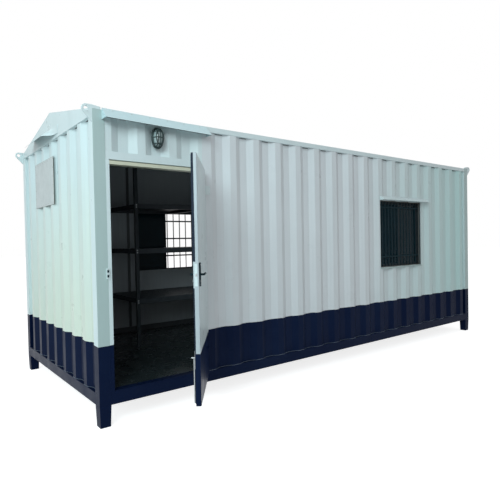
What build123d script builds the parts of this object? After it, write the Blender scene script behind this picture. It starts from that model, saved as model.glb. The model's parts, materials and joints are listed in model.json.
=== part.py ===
"""Portable site cabin: a corrugated steel cabin on a channel base, with one
outward-opening door, a grilled window in each long wall and a storage rack.

Millimetres, +Z up. X runs along the door wall from its left corner, Y runs
into the cabin, and Z is height above the ground. The model is laid out from
the cabin's front-left corner and is moved on export, so that its origin is
the centre of the front-left foot's underside.
"""
import math
import os

from build123d import *

# Overall body
CABIN_LENGTH = 6096.0
CABIN_WIDTH = 2438.0
FOOT_HEIGHT = 180.0
FRAME_HEIGHT = 2438.0          # underside of base frame to top of top rails

# Frame sections
POST_SIZE = 100.0
POST_WALL = 4.0
FOOT_TIP = 88.0
BASE_RAIL_HEIGHT = 100.0
BASE_RAIL_FLANGE = 50.0
BASE_RAIL_WALL = 6.0
TOP_RAIL = 50.0
TOP_RAIL_WALL = 3.0
JOIST_WIDTH = 50.0
JOIST_WALL = 4.0
JOIST_COUNT = 9
DECK_THICKNESS = 12.0

FIT_GAP = 2.0                  # clearance where boards and plates fit in

# Corrugated wall sheet
SHEET = 2.0
WALL_INSET = 4.0
RIB_DEPTH = 34.0
RIB_CREST = 75.0
RIB_FLANK = 70.0
RIB_PITCH = 298.5
FRONT_FLAT = 143.0             # plain strip of sheet beside the door frame
OVER_DOOR_PITCH = 305.0
OVER_DOOR_FLAT = 57.0
LONG_START_FLAT = 110.0
END_START_FLAT = -8.0          # the first rib is cut off by the corner post

# Lining, ceiling
WALL_THICKNESS = 80.0
LINING = 6.0

# Roof
ROOF_RISE = 229.0
ROOF_SHEET = 2.0
ROOF_RIB_HEIGHT = 8.0
ROOF_RIB_TOP = 30.0
ROOF_RIB_FOOT = 60.0
ROOF_RIB_PITCH = 250.0
ROOF_LAP = 12.0                # eave of the sheet over the top side rail
GABLE_PLATE = 3.0
RIDGE_CAP_WIDTH = 220.0
RIDGE_CAP_SHEET = 2.0

# Rain hood on the left gable
HOOD_START = 950.0
HOOD_LENGTH = 900.0
HOOD_FLARE = 210.0             # length over which its near end curves out
HOOD_RISE = 67.0               # top edge above the top rail
HOOD_REACH = 100.0
HOOD_HEIGHT = 85.0
HOOD_SHEET = 3.0
HOOD_CURVE = [(0.0, 0.0), (0.45, 0.10), (0.72, 0.35), (0.88, 0.72), (1.0, 1.0)]

# Door opening and frame
DOOR_OPENING_WIDTH = 867.0
DOOR_OPENING_HEIGHT = 1888.0   # above the sill
LEFT_JAMB_WIDTH = 33.0
RIGHT_JAMB_WIDTH = 40.0
HEAD_HEIGHT = 38.0
HEAD_GROOVE = (9.0, 30.0)      # shadow line along the head: height, depth
HEADER_HEIGHT = 68.0           # flat rail over the door frame
SILL_THICKNESS = 12.0

# Door leaf, an overlay leaf outside the frame
LEAF_THICKNESS = 40.0
LEAF_LAP = 12.0
LEAF_GAP = 5.0
LEAF_REST_ANGLE = 53.2
HINGE_SIDE_GAP = 16.0
KNUCKLE_RADIUS = 9.0
KNUCKLE_LENGTH = 55.0
HINGE_PIN_RADIUS = 5.0
HINGE_PIN_CLEARANCE = 0.4
HINGE_STRAP = 5.0
HINGE_COUNT = 3
HINGE_END_MARGIN = 200.0

# Door furniture
LOCK_HEIGHT = 980.0            # above the floor
LOCK_EDGE_DISTANCE = 70.0
LOCK_CASE = (60.0, 10.0, 180.0)
HANDLE_LENGTH = 120.0
HANDLE_RADIUS = 8.0
HANDLE_STANDOFF = 26.0
KEEPER = (24.0, 10.0, 90.0)
KEEPER_X = 84.0
STRIKE_PLATE = (72.0, 6.0, 82.0)
STRIKE_PLATE_X = 1047.0
STRIKE_PLATE_BOTTOM = 1789.0   # above the underside of the base frame

# Windows
WINDOW_WIDTH = 950.0
WINDOW_HEIGHT = 890.0
WINDOW_SILL = 953.0            # above the underside of the base frame
FRONT_WINDOW_X = 3785.0
BACK_WINDOW_X = 1395.0
WINDOW_FRAME = 14.0
SASH_RAIL = 28.0
SASH_DEPTH = 11.0
SASH_CLEARANCE = 1.0
GLASS = 5.0
GRILLE_BAR = 10.0
FRONT_GRILLE_SPACING = 76.0
BACK_GRILLE_SPACING = 113.0
FRONT_GRILLE_CROSSES = (140.0, 805.0)
BACK_GRILLE_CROSSES = (195.0, 446.0, 700.0)
GRILLE_CROSS_BAR = (8.0, 20.0)
GRILLE_SETBACK = 2.0           # behind the frame's outer face
SHADE_OVERHANG = 140.0
SHADE_HEIGHT = 50.0
SHADE_REACH = 70.0
SHADE_SHEET = 2.0

# Door canopy
CANOPY_START = 78.0
CANOPY_LENGTH = 1010.0
CANOPY_REACH = 100.0
CANOPY_HEIGHT = 94.0
CANOPY_SHEET = 2.0
CANOPY_FALL_ANGLE = 1.2         # sinks towards its right end
CANOPY_TOP_DROP = 5.0

# Lifting lugs
LUG_THICKNESS = 16.0
LUG_REACH = 85.0
LUG_RADIUS = 36.0
LUG_HOLE_RADIUS = 18.0
LUG_HEIGHT = 110.0
LUG_RISE = 30.0
LUG_TONGUE = (70.0, 19.0)      # length and height over the post

# Cover over the air-conditioner opening, left end
COVER_WIDTH = 700.0
COVER_HEIGHT = 480.0
COVER_SHEET = 3.0
COVER_Y = 1150.0
COVER_BELOW_RAIL = 158.0       # top edge to the top rail

# Bulkhead lamp over the door
LAMP_X = 572.0
LAMP_HEIGHT = 2262.0           # centre, above the underside of the base frame
LAMP_SIZE = (112.0, 190.0)
LAMP_DEPTH = 78.0
LAMP_BASE = 18.0
LAMP_FACETS = 24

# Storage rack along the back wall
RACK_X = 980.0
RACK_LENGTH = 1900.0
RACK_DEPTH = 930.0
RACK_WALL_GAP = 20.0
RACK_POST = 40.0
RACK_POST_WALL = 3.0
RACK_HEIGHT = 2180.0
RACK_LOWER_SHELF = 560.0       # shelf tops above the floor
RACK_MIDDLE_SHELF = 1160.0
RACK_UPPER_SHELF = 1700.0
RACK_BEAM = 40.0
RACK_SLAT = (70.0, 18.0)
RACK_SLAT_COUNT = 8

# Values that follow
BASE_Z = FOOT_HEIGHT
TOP_Z = BASE_Z + FRAME_HEIGHT
SILL_Z = BASE_Z + BASE_RAIL_HEIGHT
FLOOR_Z = SILL_Z + DECK_THICKNESS
RAIL_Z = TOP_Z - TOP_RAIL
CEILING_Z = RAIL_Z - LINING
RIB_BACK = WALL_INSET + RIB_DEPTH
LINING_FACE = WALL_THICKNESS - LINING
DOOR_X0 = POST_SIZE + LEFT_JAMB_WIDTH
DOOR_X1 = DOOR_X0 + DOOR_OPENING_WIDTH
FRAME_X1 = DOOR_X1 + RIGHT_JAMB_WIDTH
DOOR_SILL_TOP = SILL_Z + SILL_THICKNESS
DOOR_HEAD_Z = DOOR_SILL_TOP + DOOR_OPENING_HEIGHT
FRAME_TOP_Z = DOOR_HEAD_Z + HEAD_HEIGHT
HEADER_TOP_Z = FRAME_TOP_Z + HEADER_HEIGHT
WINDOW_Z0 = BASE_Z + WINDOW_SILL
WINDOW_Z1 = WINDOW_Z0 + WINDOW_HEIGHT
LEAF_X0 = DOOR_X0 - LEAF_LAP
LEAF_X1 = DOOR_X1 + LEAF_LAP
LEAF_Z0 = DOOR_SILL_TOP - LEAF_LAP
LEAF_Z1 = DOOR_HEAD_Z + LEAF_LAP
LEAF_Y1 = -LEAF_GAP
LEAF_Y0 = LEAF_Y1 - LEAF_THICKNESS
HINGE_X = LEAF_X1 + HINGE_SIDE_GAP
HINGE_Y = LEAF_Y0 + LEAF_THICKNESS / 2
ROOF_EAVE_INSET = TOP_RAIL - ROOF_LAP
ORIGIN = Location((-POST_SIZE / 2, -POST_SIZE / 2, 0))

os.makedirs("parts", exist_ok=True)


def block(x0, x1, y0, y1, z0, z1):
    """Box between two corners."""
    centre = Pos((x0 + x1) / 2, (y0 + y1) / 2, (z0 + z1) / 2)
    return centre * Box(abs(x1 - x0), abs(y1 - y0), abs(z1 - z0))


def save(name, *solids):
    """Write a node, holding one solid or several that don't touch."""
    moved = [s.moved(ORIGIN) for s in solids]
    shape = moved[0] if len(moved) == 1 else Compound(children=moved)
    export_step(shape, f"parts/{name}.step")


def prism(points, direction):
    """Solid swept from a closed flat outline along a vector."""
    outline = Face(Wire.make_polygon([Vector(*p) for p in points], close=True))
    return Solid.extrude(outline, Vector(*direction))


def mirror_x(solid):
    return solid.mirror(Plane.YZ.offset(CABIN_LENGTH / 2))


def mirror_y(solid):
    return solid.mirror(Plane.XZ.offset(-CABIN_WIDTH / 2))


def rib_line(start, end, first_flat, pitch=RIB_PITCH):
    """Outer line of corrugated sheet: pairs of (along, depth).

    Ribs that run past the start or the end are cut off there.
    """
    wave = [(start - pitch, 0.0)]
    recess = pitch - RIB_CREST - 2 * RIB_FLANK
    at = start + first_flat
    while at < end:
        wave.append((at, 0.0))
        wave.append((at + RIB_FLANK, RIB_DEPTH))
        wave.append((at + RIB_FLANK + recess, RIB_DEPTH))
        wave.append((at + 2 * RIB_FLANK + recess, 0.0))
        at += pitch
    wave.append((end + pitch, 0.0))

    def depth_at(u):
        for (u0, d0), (u1, d1) in zip(wave, wave[1:]):
            if u0 <= u <= u1:
                return d0 + (d1 - d0) * (u - u0) / (u1 - u0)

    inner = [(u, d) for u, d in wave if start < u < end]
    return [(start, depth_at(start))] + inner + [(end, depth_at(end))]


def corrugated(start, end, z0, z1, first_flat, pitch=RIB_PITCH):
    """Corrugated sheet along X, crests outward at Y = WALL_INSET."""
    outer = rib_line(start, end, first_flat, pitch)
    front = [(u, WALL_INSET + d, z0) for u, d in outer]
    back = [(u, WALL_INSET + d + SHEET, z0) for u, d in reversed(outer)]
    return prism(front + back, (0, 0, z1 - z0))


def corrugated_end(z0, z1):
    """Corrugated sheet along Y, crests outward at X = WALL_INSET."""
    outer = rib_line(POST_SIZE, CABIN_WIDTH - POST_SIZE, END_START_FLAT)
    front = [(WALL_INSET + d, u, z0) for u, d in outer]
    back = [(WALL_INSET + d + SHEET, u, z0) for u, d in reversed(outer)]
    return prism(front + back, (0, 0, z1 - z0))


def tube_x(x0, x1, y0, z0, size, wall):
    outer = block(x0, x1, y0, y0 + size, z0, z0 + size)
    inner = block(x0, x1, y0 + wall, y0 + size - wall,
                  z0 + wall, z0 + size - wall)
    return outer - inner


def tube_y(y0, y1, x0, z0, size, wall):
    outer = block(x0, x0 + size, y0, y1, z0, z0 + size)
    inner = block(x0 + wall, x0 + size - wall, y0, y1,
                  z0 + wall, z0 + size - wall)
    return outer - inner


def tube_z(z0, z1, x0, y0, size, wall):
    outer = block(x0, x0 + size, y0, y0 + size, z0, z1)
    inner = block(x0 + wall, x0 + size - wall, y0 + wall, y0 + size - wall,
                  z0, z1)
    return outer - inner


def at_corners(solid):
    """The solid at the front-left corner, and its three mirror images."""
    right = mirror_x(solid)
    return [solid, right, mirror_y(solid), mirror_y(right)]


# Base frame: channels with their backs outward, between the corner posts
def base_channel(length):
    h, f, w = BASE_RAIL_HEIGHT, BASE_RAIL_FLANGE, BASE_RAIL_WALL
    profile = [(0, 0, 0), (0, f, 0), (0, f, w), (0, w, w),
               (0, w, h - w), (0, f, h - w), (0, f, h), (0, 0, h)]
    return prism(profile, (length, 0, 0))


front_base = Pos(POST_SIZE, 0, BASE_Z) * base_channel(CABIN_LENGTH - 2 * POST_SIZE)
save("base_side_rails", front_base, mirror_y(front_base))
left_base = (Pos(0, CABIN_WIDTH - POST_SIZE, BASE_Z)
             * Rot(0, 0, -90) * base_channel(CABIN_WIDTH - 2 * POST_SIZE))
save("base_end_rails", left_base, mirror_x(left_base))

joists = []
joist_span = (CABIN_LENGTH - 2 * POST_SIZE) / (JOIST_COUNT + 1)
for i in range(JOIST_COUNT):
    x = POST_SIZE + joist_span * (i + 1) - JOIST_WIDTH / 2
    y0, y1 = BASE_RAIL_FLANGE, CABIN_WIDTH - BASE_RAIL_FLANGE
    outer = block(x, x + JOIST_WIDTH, y0, y1, BASE_Z, SILL_Z)
    hollow = block(x + JOIST_WALL, x + JOIST_WIDTH - JOIST_WALL, y0, y1,
                   BASE_Z + JOIST_WALL, SILL_Z - JOIST_WALL)
    joists.append(outer - hollow)
save("floor_joists", *joists)

deck_edge = RIB_BACK + SHEET + FIT_GAP
deck = block(deck_edge, CABIN_LENGTH - deck_edge, deck_edge,
             CABIN_WIDTH - deck_edge, SILL_Z, FLOOR_Z)
for corner in at_corners(block(0, POST_SIZE, 0, POST_SIZE, SILL_Z, FLOOR_Z)):
    deck -= corner
deck -= block(POST_SIZE, FRAME_X1, 0, WALL_THICKNESS, SILL_Z, FLOOR_Z)
save("floor_deck", deck)

# Corner posts on tapered feet
post = tube_z(BASE_Z, TOP_Z, 0, 0, POST_SIZE, POST_WALL)
save("corner_posts", *at_corners(post))

foot = loft([
    Plane.XY.offset(BASE_Z) * Pos(POST_SIZE / 2, POST_SIZE / 2)
    * Rectangle(POST_SIZE, POST_SIZE),
    Plane.XY * Pos(POST_SIZE / 2, POST_SIZE / 2) * Rectangle(FOOT_TIP, FOOT_TIP),
])
save("corner_feet", *at_corners(foot))

# Top rails
rail_front = tube_x(POST_SIZE, CABIN_LENGTH - POST_SIZE, 0, RAIL_Z,
                    TOP_RAIL, TOP_RAIL_WALL)
save("top_side_rails", rail_front, mirror_y(rail_front))
rail_left = tube_y(POST_SIZE, CABIN_WIDTH - POST_SIZE, 0, RAIL_Z,
                   TOP_RAIL, TOP_RAIL_WALL)
save("top_end_rails", rail_left, mirror_x(rail_left))

# Walls
window_cut_front = block(FRONT_WINDOW_X, FRONT_WINDOW_X + WINDOW_WIDTH,
                         -1, WALL_THICKNESS + 1, WINDOW_Z0, WINDOW_Z1)
front_wall = corrugated(FRAME_X1, CABIN_LENGTH - POST_SIZE, SILL_Z, RAIL_Z,
                        FRONT_FLAT - RIGHT_JAMB_WIDTH)
save("front_wall", front_wall - window_cut_front)
save("front_wall_over_door",
     corrugated(POST_SIZE, FRAME_X1, HEADER_TOP_Z, RAIL_Z,
                OVER_DOOR_FLAT, OVER_DOOR_PITCH))
save("door_header", block(POST_SIZE, FRAME_X1, WALL_INSET - SHEET,
                          RIB_BACK + SHEET, FRAME_TOP_Z, HEADER_TOP_Z))


def split_at_back_window(wall):
    """The wall left and right of the back window, and under and over it."""
    x0, x1 = BACK_WINDOW_X, BACK_WINDOW_X + WINDOW_WIDTH
    y0, y1 = CABIN_WIDTH - WALL_THICKNESS - 1, CABIN_WIDTH + 1
    left = wall & block(0, x0, y0, y1, 0, TOP_Z)
    right = wall & block(x1, CABIN_LENGTH, y0, y1, 0, TOP_Z)
    under = wall & block(x0, x1, y0, y1, 0, WINDOW_Z0)
    over = wall & block(x0, x1, y0, y1, WINDOW_Z1, TOP_Z)
    return left, right, under, over


back_wall = mirror_y(corrugated(POST_SIZE, CABIN_LENGTH - POST_SIZE, SILL_Z,
                                RAIL_Z, LONG_START_FLAT))
left, right, under, over = split_at_back_window(back_wall)
save("back_wall", left, right)
save("back_wall_at_window", under, over)
left_wall = corrugated_end(SILL_Z, RAIL_Z)
save("left_end_wall", left_wall)
save("right_end_wall", mirror_x(left_wall))

# Lining boards
lining = block(FRAME_X1, CABIN_LENGTH - POST_SIZE, LINING_FACE,
               WALL_THICKNESS, FLOOR_Z, CEILING_Z)
save("front_lining", lining - window_cut_front)
save("front_lining_over_door",
     block(POST_SIZE, FRAME_X1, LINING_FACE, WALL_THICKNESS,
           FRAME_TOP_Z, CEILING_Z))
lining = block(POST_SIZE, CABIN_LENGTH - POST_SIZE,
               CABIN_WIDTH - WALL_THICKNESS, CABIN_WIDTH - LINING_FACE,
               FLOOR_Z, CEILING_Z)
left, right, under, over = split_at_back_window(lining)
save("back_lining", left, right)
save("back_lining_at_window", under, over)
end_lining = block(LINING_FACE, WALL_THICKNESS, LINING_FACE,
                   CABIN_WIDTH - LINING_FACE, FLOOR_Z, CEILING_Z)
for corner in at_corners(block(0, POST_SIZE, 0, POST_SIZE, FLOOR_Z, CEILING_Z)):
    end_lining -= corner
save("end_linings", end_lining, mirror_x(end_lining))
ceiling_edge = TOP_RAIL + FIT_GAP
ceiling = block(ceiling_edge, CABIN_LENGTH - ceiling_edge, ceiling_edge,
                CABIN_WIDTH - ceiling_edge, CEILING_Z, RAIL_Z)
for corner in at_corners(block(0, POST_SIZE, 0, POST_SIZE, CEILING_Z, RAIL_Z)):
    ceiling -= corner
save("ceiling", ceiling)

# Roof: two ribbed slopes, gable plates and a ridge cap
slope_run = CABIN_WIDTH / 2 - ROOF_EAVE_INSET
slope = math.atan2(ROOF_RISE, slope_run)
slope_length = slope_run / math.cos(slope)


def roof_slope():
    """Ribbed sheet over the front half, ribs running up the slope."""
    line = [(0.0, 0.0)]
    count = int((CABIN_LENGTH - ROOF_RIB_PITCH / 2) // ROOF_RIB_PITCH)
    first = (CABIN_LENGTH - (count - 1) * ROOF_RIB_PITCH) / 2
    for i in range(count):
        mid = first + i * ROOF_RIB_PITCH
        line += [(mid - ROOF_RIB_FOOT / 2, 0.0),
                 (mid - ROOF_RIB_TOP / 2, ROOF_RIB_HEIGHT),
                 (mid + ROOF_RIB_TOP / 2, ROOF_RIB_HEIGHT),
                 (mid + ROOF_RIB_FOOT / 2, 0.0)]
    line.append((CABIN_LENGTH, 0.0))
    top = [(x, 0, h + ROOF_SHEET) for x, h in line]
    under = [(x, 0, h) for x, h in reversed(line)]
    sheet = prism(top + under, (0, slope_length, 0))
    tilted = Rot(math.degrees(slope), 0, 0) * sheet
    return Pos(0, ROOF_EAVE_INSET, TOP_Z) * tilted


front_slope = roof_slope()
save("roof_front_slope", front_slope)
save("roof_back_slope", mirror_y(front_slope))


gable_top = ROOF_RIB_HEIGHT + ROOF_SHEET
gable_y0 = LUG_THICKNESS + FIT_GAP


def gable_plate():
    mid = CABIN_WIDTH / 2
    eave = TOP_Z + gable_top
    outline = [(0, gable_y0, RAIL_Z), (0, CABIN_WIDTH - gable_y0, RAIL_Z),
               (0, CABIN_WIDTH - gable_y0, eave),
               (0, CABIN_WIDTH - ROOF_EAVE_INSET, eave),
               (0, mid, eave + ROOF_RISE),
               (0, ROOF_EAVE_INSET, eave), (0, gable_y0, eave)]
    return prism(outline, (-GABLE_PLATE, 0, 0))


plate = gable_plate()
save("gable_plates", plate, mirror_x(plate))

cap_half = RIDGE_CAP_WIDTH / 2
cap_drop = cap_half * math.tan(slope)
cap_base = TOP_Z + ROOF_RISE + gable_top / math.cos(slope)
mid = CABIN_WIDTH / 2
cap = prism([(0, mid - cap_half, cap_base - cap_drop), (0, mid, cap_base),
             (0, mid + cap_half, cap_base - cap_drop),
             (0, mid + cap_half, cap_base - cap_drop + RIDGE_CAP_SHEET),
             (0, mid, cap_base + RIDGE_CAP_SHEET),
             (0, mid - cap_half, cap_base - cap_drop + RIDGE_CAP_SHEET)],
            (CABIN_LENGTH, 0, 0))
save("ridge_cap", cap)


def folded_shade(length, reach, drop, sheet):
    """Sloped rain sheet along +X off a wall at Y = 0, with end cheeks.

    Its top edge is at Z = 0 and its cheeks close the triangle below.
    """
    tilt = math.hypot(reach, drop)
    across = sheet * tilt / reach
    skin = prism([(0, 0, 0), (0, -reach, -drop), (0, -reach, -drop - across),
                  (0, 0, -across)], (length, 0, 0))
    cheek = prism([(0, 0, 0), (0, -reach, -drop), (0, -reach, -drop - across),
                   (0, 0, -drop - across)], (sheet, 0, 0))
    return skin + cheek + Pos(length - sheet, 0, 0) * cheek


canopy = folded_shade(CANOPY_LENGTH, CANOPY_REACH, CANOPY_HEIGHT, CANOPY_SHEET)
canopy = (Pos(CANOPY_START + CANOPY_LENGTH, 0, TOP_Z - CANOPY_TOP_DROP)
          * Rot(0, CANOPY_FALL_ANGLE, 0) * Pos(-CANOPY_LENGTH, 0, 0) * canopy)
save("door_canopy", canopy)

shade = folded_shade(WINDOW_WIDTH + SHADE_OVERHANG, SHADE_REACH, SHADE_HEIGHT,
                     SHADE_SHEET)
save("front_window_shade",
     Pos(FRONT_WINDOW_X, WALL_INSET, WINDOW_Z1 + SHADE_HEIGHT + SHADE_SHEET * 4)
     * shade)



def hood_section(along, reach):
    """Cross-section of the rain hood, its upper edge on the gable plate."""
    y = HOOD_START + along
    top = TOP_Z + HOOD_RISE
    low = top - HOOD_HEIGHT
    x = -GABLE_PLATE
    corners = [(x, y, top), (x - reach, y, low), (x - reach - HOOD_SHEET, y, low),
               (x - HOOD_SHEET, y, top)]
    return Face(Wire.make_polygon([Vector(*c) for c in corners], close=True))


hood = loft([hood_section(HOOD_FLARE * u, HOOD_REACH * r) for u, r in HOOD_CURVE]
            + [hood_section(HOOD_LENGTH, HOOD_REACH)], ruled=True)
save("end_rain_hood", hood)

# Lifting lugs: eye plates over the tops of the corner posts
eye_x = -(LUG_REACH - LUG_RADIUS)
eye_z = TOP_Z + LUG_RISE - LUG_RADIUS
plate_outline = make_face(Polyline(
    (0, TOP_Z - LUG_HEIGHT), (0, TOP_Z), (LUG_TONGUE[0], TOP_Z),
    (LUG_TONGUE[0], TOP_Z + LUG_TONGUE[1]), (0, TOP_Z + LUG_RISE),
    (eye_x, TOP_Z + LUG_RISE), (eye_x - LUG_RADIUS * 0.8, eye_z - LUG_RADIUS * 0.6),
    close=True))
flat_lug = plate_outline + Pos(eye_x, eye_z) * Circle(LUG_RADIUS)
flat_lug -= Pos(eye_x, eye_z) * Circle(LUG_HOLE_RADIUS)
lug = extrude(Plane.XZ * flat_lug, -LUG_THICKNESS)
save("lifting_lugs", *at_corners(lug))

# Cover plate over the air-conditioner opening
save("air_conditioner_cover",
     block(WALL_INSET - COVER_SHEET, WALL_INSET, COVER_Y, COVER_Y + COVER_WIDTH,
           RAIL_Z - COVER_BELOW_RAIL - COVER_HEIGHT,
           RAIL_Z - COVER_BELOW_RAIL))

# Bulkhead lamp over the door
lamp_z = BASE_Z + LAMP_HEIGHT
lamp_w, lamp_h = LAMP_SIZE
pad = block(LAMP_X - 35, LAMP_X + 35, WALL_INSET, RIB_BACK,
            lamp_z - lamp_h * 0.35, lamp_z + lamp_h * 0.35)
front_plane = Plane(origin=(LAMP_X, WALL_INSET, lamp_z), x_dir=(1, 0, 0),
                    z_dir=(0, -1, 0))


def lamp_oval(inset_across, inset_up, out):
    """Flat oval with facets, parallel to the wall."""
    a, b = lamp_w / 2 - inset_across, lamp_h / 2 - inset_up
    angles = [2 * math.pi * i / LAMP_FACETS for i in range(LAMP_FACETS)]
    ring = Polyline(*[(a * math.cos(t), b * math.sin(t)) for t in angles],
                    close=True)
    return front_plane.offset(out) * make_face(ring)


base = extrude(lamp_oval(0, 0, 0), LAMP_BASE)
bulge = LAMP_DEPTH - LAMP_BASE
dome = loft([lamp_oval(10, 12, LAMP_BASE),
             lamp_oval(15, 19, LAMP_BASE + bulge * 0.55),
             lamp_oval(24, 31, LAMP_BASE + bulge * 0.85),
             lamp_oval(38, 50, LAMP_DEPTH)], ruled=True)
save("lamp", pad + base + dome)

# Door frame
jamb_left = block(POST_SIZE, DOOR_X0, 0, WALL_THICKNESS, SILL_Z, FRAME_TOP_Z)
jamb_right = block(DOOR_X1, FRAME_X1, 0, WALL_THICKNESS, SILL_Z, FRAME_TOP_Z)
save("door_jambs", jamb_left, jamb_right)
groove_height, groove_depth = HEAD_GROOVE
head = block(DOOR_X0, DOOR_X1, 0, WALL_THICKNESS, DOOR_HEAD_Z, FRAME_TOP_Z)
head -= block(DOOR_X0, DOOR_X1, 0, groove_depth, FRAME_TOP_Z - groove_height,
              FRAME_TOP_Z)
save("door_head", head)
save("door_sill", block(DOOR_X0, DOOR_X1, 0, WALL_THICKNESS,
                        SILL_Z, DOOR_SILL_TOP))

# Door leaf, laid out shut and then swung to its rest angle
swing = (Pos(HINGE_X, HINGE_Y, 0) * Rot(0, 0, LEAF_REST_ANGLE)
         * Pos(-HINGE_X, -HINGE_Y, 0))
leaf = block(LEAF_X0, LEAF_X1, LEAF_Y0, LEAF_Y1, LEAF_Z0, LEAF_Z1)
save("door_leaf", swing * leaf)

hinge_zs = [LEAF_Z0 + HINGE_END_MARGIN
            + i * (LEAF_Z1 - LEAF_Z0 - 2 * HINGE_END_MARGIN) / (HINGE_COUNT - 1)
            for i in range(HINGE_COUNT)]
leaf_knuckles, frame_knuckles = [], []
for z in hinge_zs:
    at = Pos(HINGE_X, HINGE_Y, z + KNUCKLE_LENGTH / 2 + 0.5)
    barrel = at * Cylinder(KNUCKLE_RADIUS, KNUCKLE_LENGTH)
    strap = block(LEAF_X1, HINGE_X, HINGE_Y - HINGE_STRAP / 2,
                  HINGE_Y + HINGE_STRAP / 2, z + 0.5, z + 0.5 + KNUCKLE_LENGTH)
    bore = at * Cylinder(HINGE_PIN_RADIUS + HINGE_PIN_CLEARANCE,
                         KNUCKLE_LENGTH + 2)
    leaf_knuckles.append(swing * (barrel + strap - bore))
    barrel = Pos(HINGE_X, HINGE_Y, z - KNUCKLE_LENGTH / 2) * Cylinder(
        KNUCKLE_RADIUS, KNUCKLE_LENGTH)
    pin = Pos(HINGE_X, HINGE_Y, z + (KNUCKLE_LENGTH - 4) / 2) * Cylinder(
        HINGE_PIN_RADIUS, KNUCKLE_LENGTH - 4)
    lug_plate = block(HINGE_X - HINGE_STRAP / 2, HINGE_X + HINGE_STRAP / 2,
                      HINGE_Y, 0, z - KNUCKLE_LENGTH, z)
    frame_knuckles.append(barrel + pin + lug_plate)
save("hinge_leaf_knuckles", *leaf_knuckles)
save("hinge_frame_knuckles", *frame_knuckles)

lock_z = FLOOR_Z + LOCK_HEIGHT
lock_w, lock_d, lock_h = LOCK_CASE
lock_x = LEAF_X0 + LOCK_EDGE_DISTANCE
outer_plate = block(lock_x - lock_w / 2, lock_x + lock_w / 2, LEAF_Y0 - lock_d,
                    LEAF_Y0, lock_z - lock_h / 2, lock_z + lock_h / 2)
save("door_lock", swing * outer_plate)


def lever(side):
    """Lever handle: a spindle and a bar towards the hinge side."""
    face = LEAF_Y1 if side > 0 else LEAF_Y0 - lock_d
    spindle = Pos(lock_x, face + side * HANDLE_STANDOFF / 2, lock_z) * (
        Rot(90, 0, 0) * Cylinder(HANDLE_RADIUS, HANDLE_STANDOFF))
    bar = Pos(lock_x + HANDLE_LENGTH / 2, face + side * HANDLE_STANDOFF, lock_z) * (
        Rot(0, 90, 0) * Cylinder(HANDLE_RADIUS, HANDLE_LENGTH))
    return spindle + bar


save("door_handles", swing * lever(-1), swing * lever(1))

keeper_w, keeper_d, keeper_h = KEEPER
save("lock_keeper", block(KEEPER_X, KEEPER_X + keeper_w, -keeper_d, 0,
                          lock_z - keeper_h / 2, lock_z + keeper_h / 2))
plate_w, plate_d, plate_h = STRIKE_PLATE
save("wall_plate", block(STRIKE_PLATE_X, STRIKE_PLATE_X + plate_w,
                         WALL_INSET - plate_d, WALL_INSET,
                         BASE_Z + STRIKE_PLATE_BOTTOM,
                         BASE_Z + STRIKE_PLATE_BOTTOM + plate_h))


# Windows, laid out with the wall's outer face at Y = 0
def window_frame():
    outer = block(0, WINDOW_WIDTH, RIB_BACK, WALL_THICKNESS, 0, WINDOW_HEIGHT)
    f = WINDOW_FRAME
    return outer - block(f, WINDOW_WIDTH - f, -1, WALL_THICKNESS + 1,
                         f, WINDOW_HEIGHT - f)


def sash(x0, x1, y0):
    """A sash frame and its pane."""
    z0, z1 = WINDOW_FRAME, WINDOW_HEIGHT - WINDOW_FRAME
    outer = block(x0, x1, y0, y0 + SASH_DEPTH, z0, z1)
    r = SASH_RAIL
    frame = outer - block(x0 + r, x1 - r, y0 - 1, y0 + SASH_DEPTH + 1,
                          z0 + r, z1 - r)
    mid = y0 + SASH_DEPTH / 2
    pane = block(x0 + r, x1 - r, mid - GLASS / 2, mid + GLASS / 2,
                 z0 + r, z1 - r)
    return frame, pane


def window_grille(spacing, crosses):
    z0, z1 = WINDOW_FRAME, WINDOW_HEIGHT - WINDOW_FRAME
    x0, x1 = WINDOW_FRAME, WINDOW_WIDTH - WINDOW_FRAME
    depth, height = GRILLE_CROSS_BAR
    y = RIB_BACK + GRILLE_SETBACK
    grille = None
    for z in crosses:
        bar = block(x0, x1, y, y + depth, z - height / 2, z + height / 2)
        grille = bar if grille is None else grille + bar
    count = int((x1 - x0) // spacing)
    step = (x1 - x0) / (count + 1)
    bars = [block(x0 + step * (i + 1) - GRILLE_BAR / 2,
                  x0 + step * (i + 1) + GRILLE_BAR / 2,
                  y + depth / 2 - GRILLE_BAR / 2, y + depth / 2 + GRILLE_BAR / 2,
                  z0, z1) for i in range(count)]
    return grille + bars


half = WINDOW_WIDTH / 2 + SASH_RAIL / 2
sash_y0 = RIB_BACK + GRILLE_SETBACK + GRILLE_BAR + 2 * SASH_CLEARANCE
sash_y1 = sash_y0 + SASH_DEPTH + SASH_CLEARANCE
front_at = Pos(FRONT_WINDOW_X, 0, WINDOW_Z0)
left_sash = sash(WINDOW_FRAME, half, sash_y0)
right_sash = sash(WINDOW_WIDTH - half, WINDOW_WIDTH - WINDOW_FRAME, sash_y1)
save("front_window_frame", front_at * window_frame())
save("front_window_sashes", front_at * left_sash[0], front_at * right_sash[0])
save("front_window_glass", front_at * left_sash[1], front_at * right_sash[1])
save("front_window_grille", front_at * window_grille(
    FRONT_GRILLE_SPACING, FRONT_GRILLE_CROSSES))


def back_window(solid):
    """Place on the back wall, outer face outward and left side still left."""
    flipped = solid.mirror(Plane.XZ)
    return Pos(BACK_WINDOW_X, CABIN_WIDTH, WINDOW_Z0) * flipped


second_sash = sash(WINDOW_FRAME, half, sash_y1)
save("back_window_frame", back_window(window_frame()))
save("back_window_sashes", back_window(left_sash[0]), back_window(second_sash[0]))
save("back_window_glass", back_window(left_sash[1]), back_window(second_sash[1]))
save("back_window_grille", back_window(window_grille(
    BACK_GRILLE_SPACING, BACK_GRILLE_CROSSES)))

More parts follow.
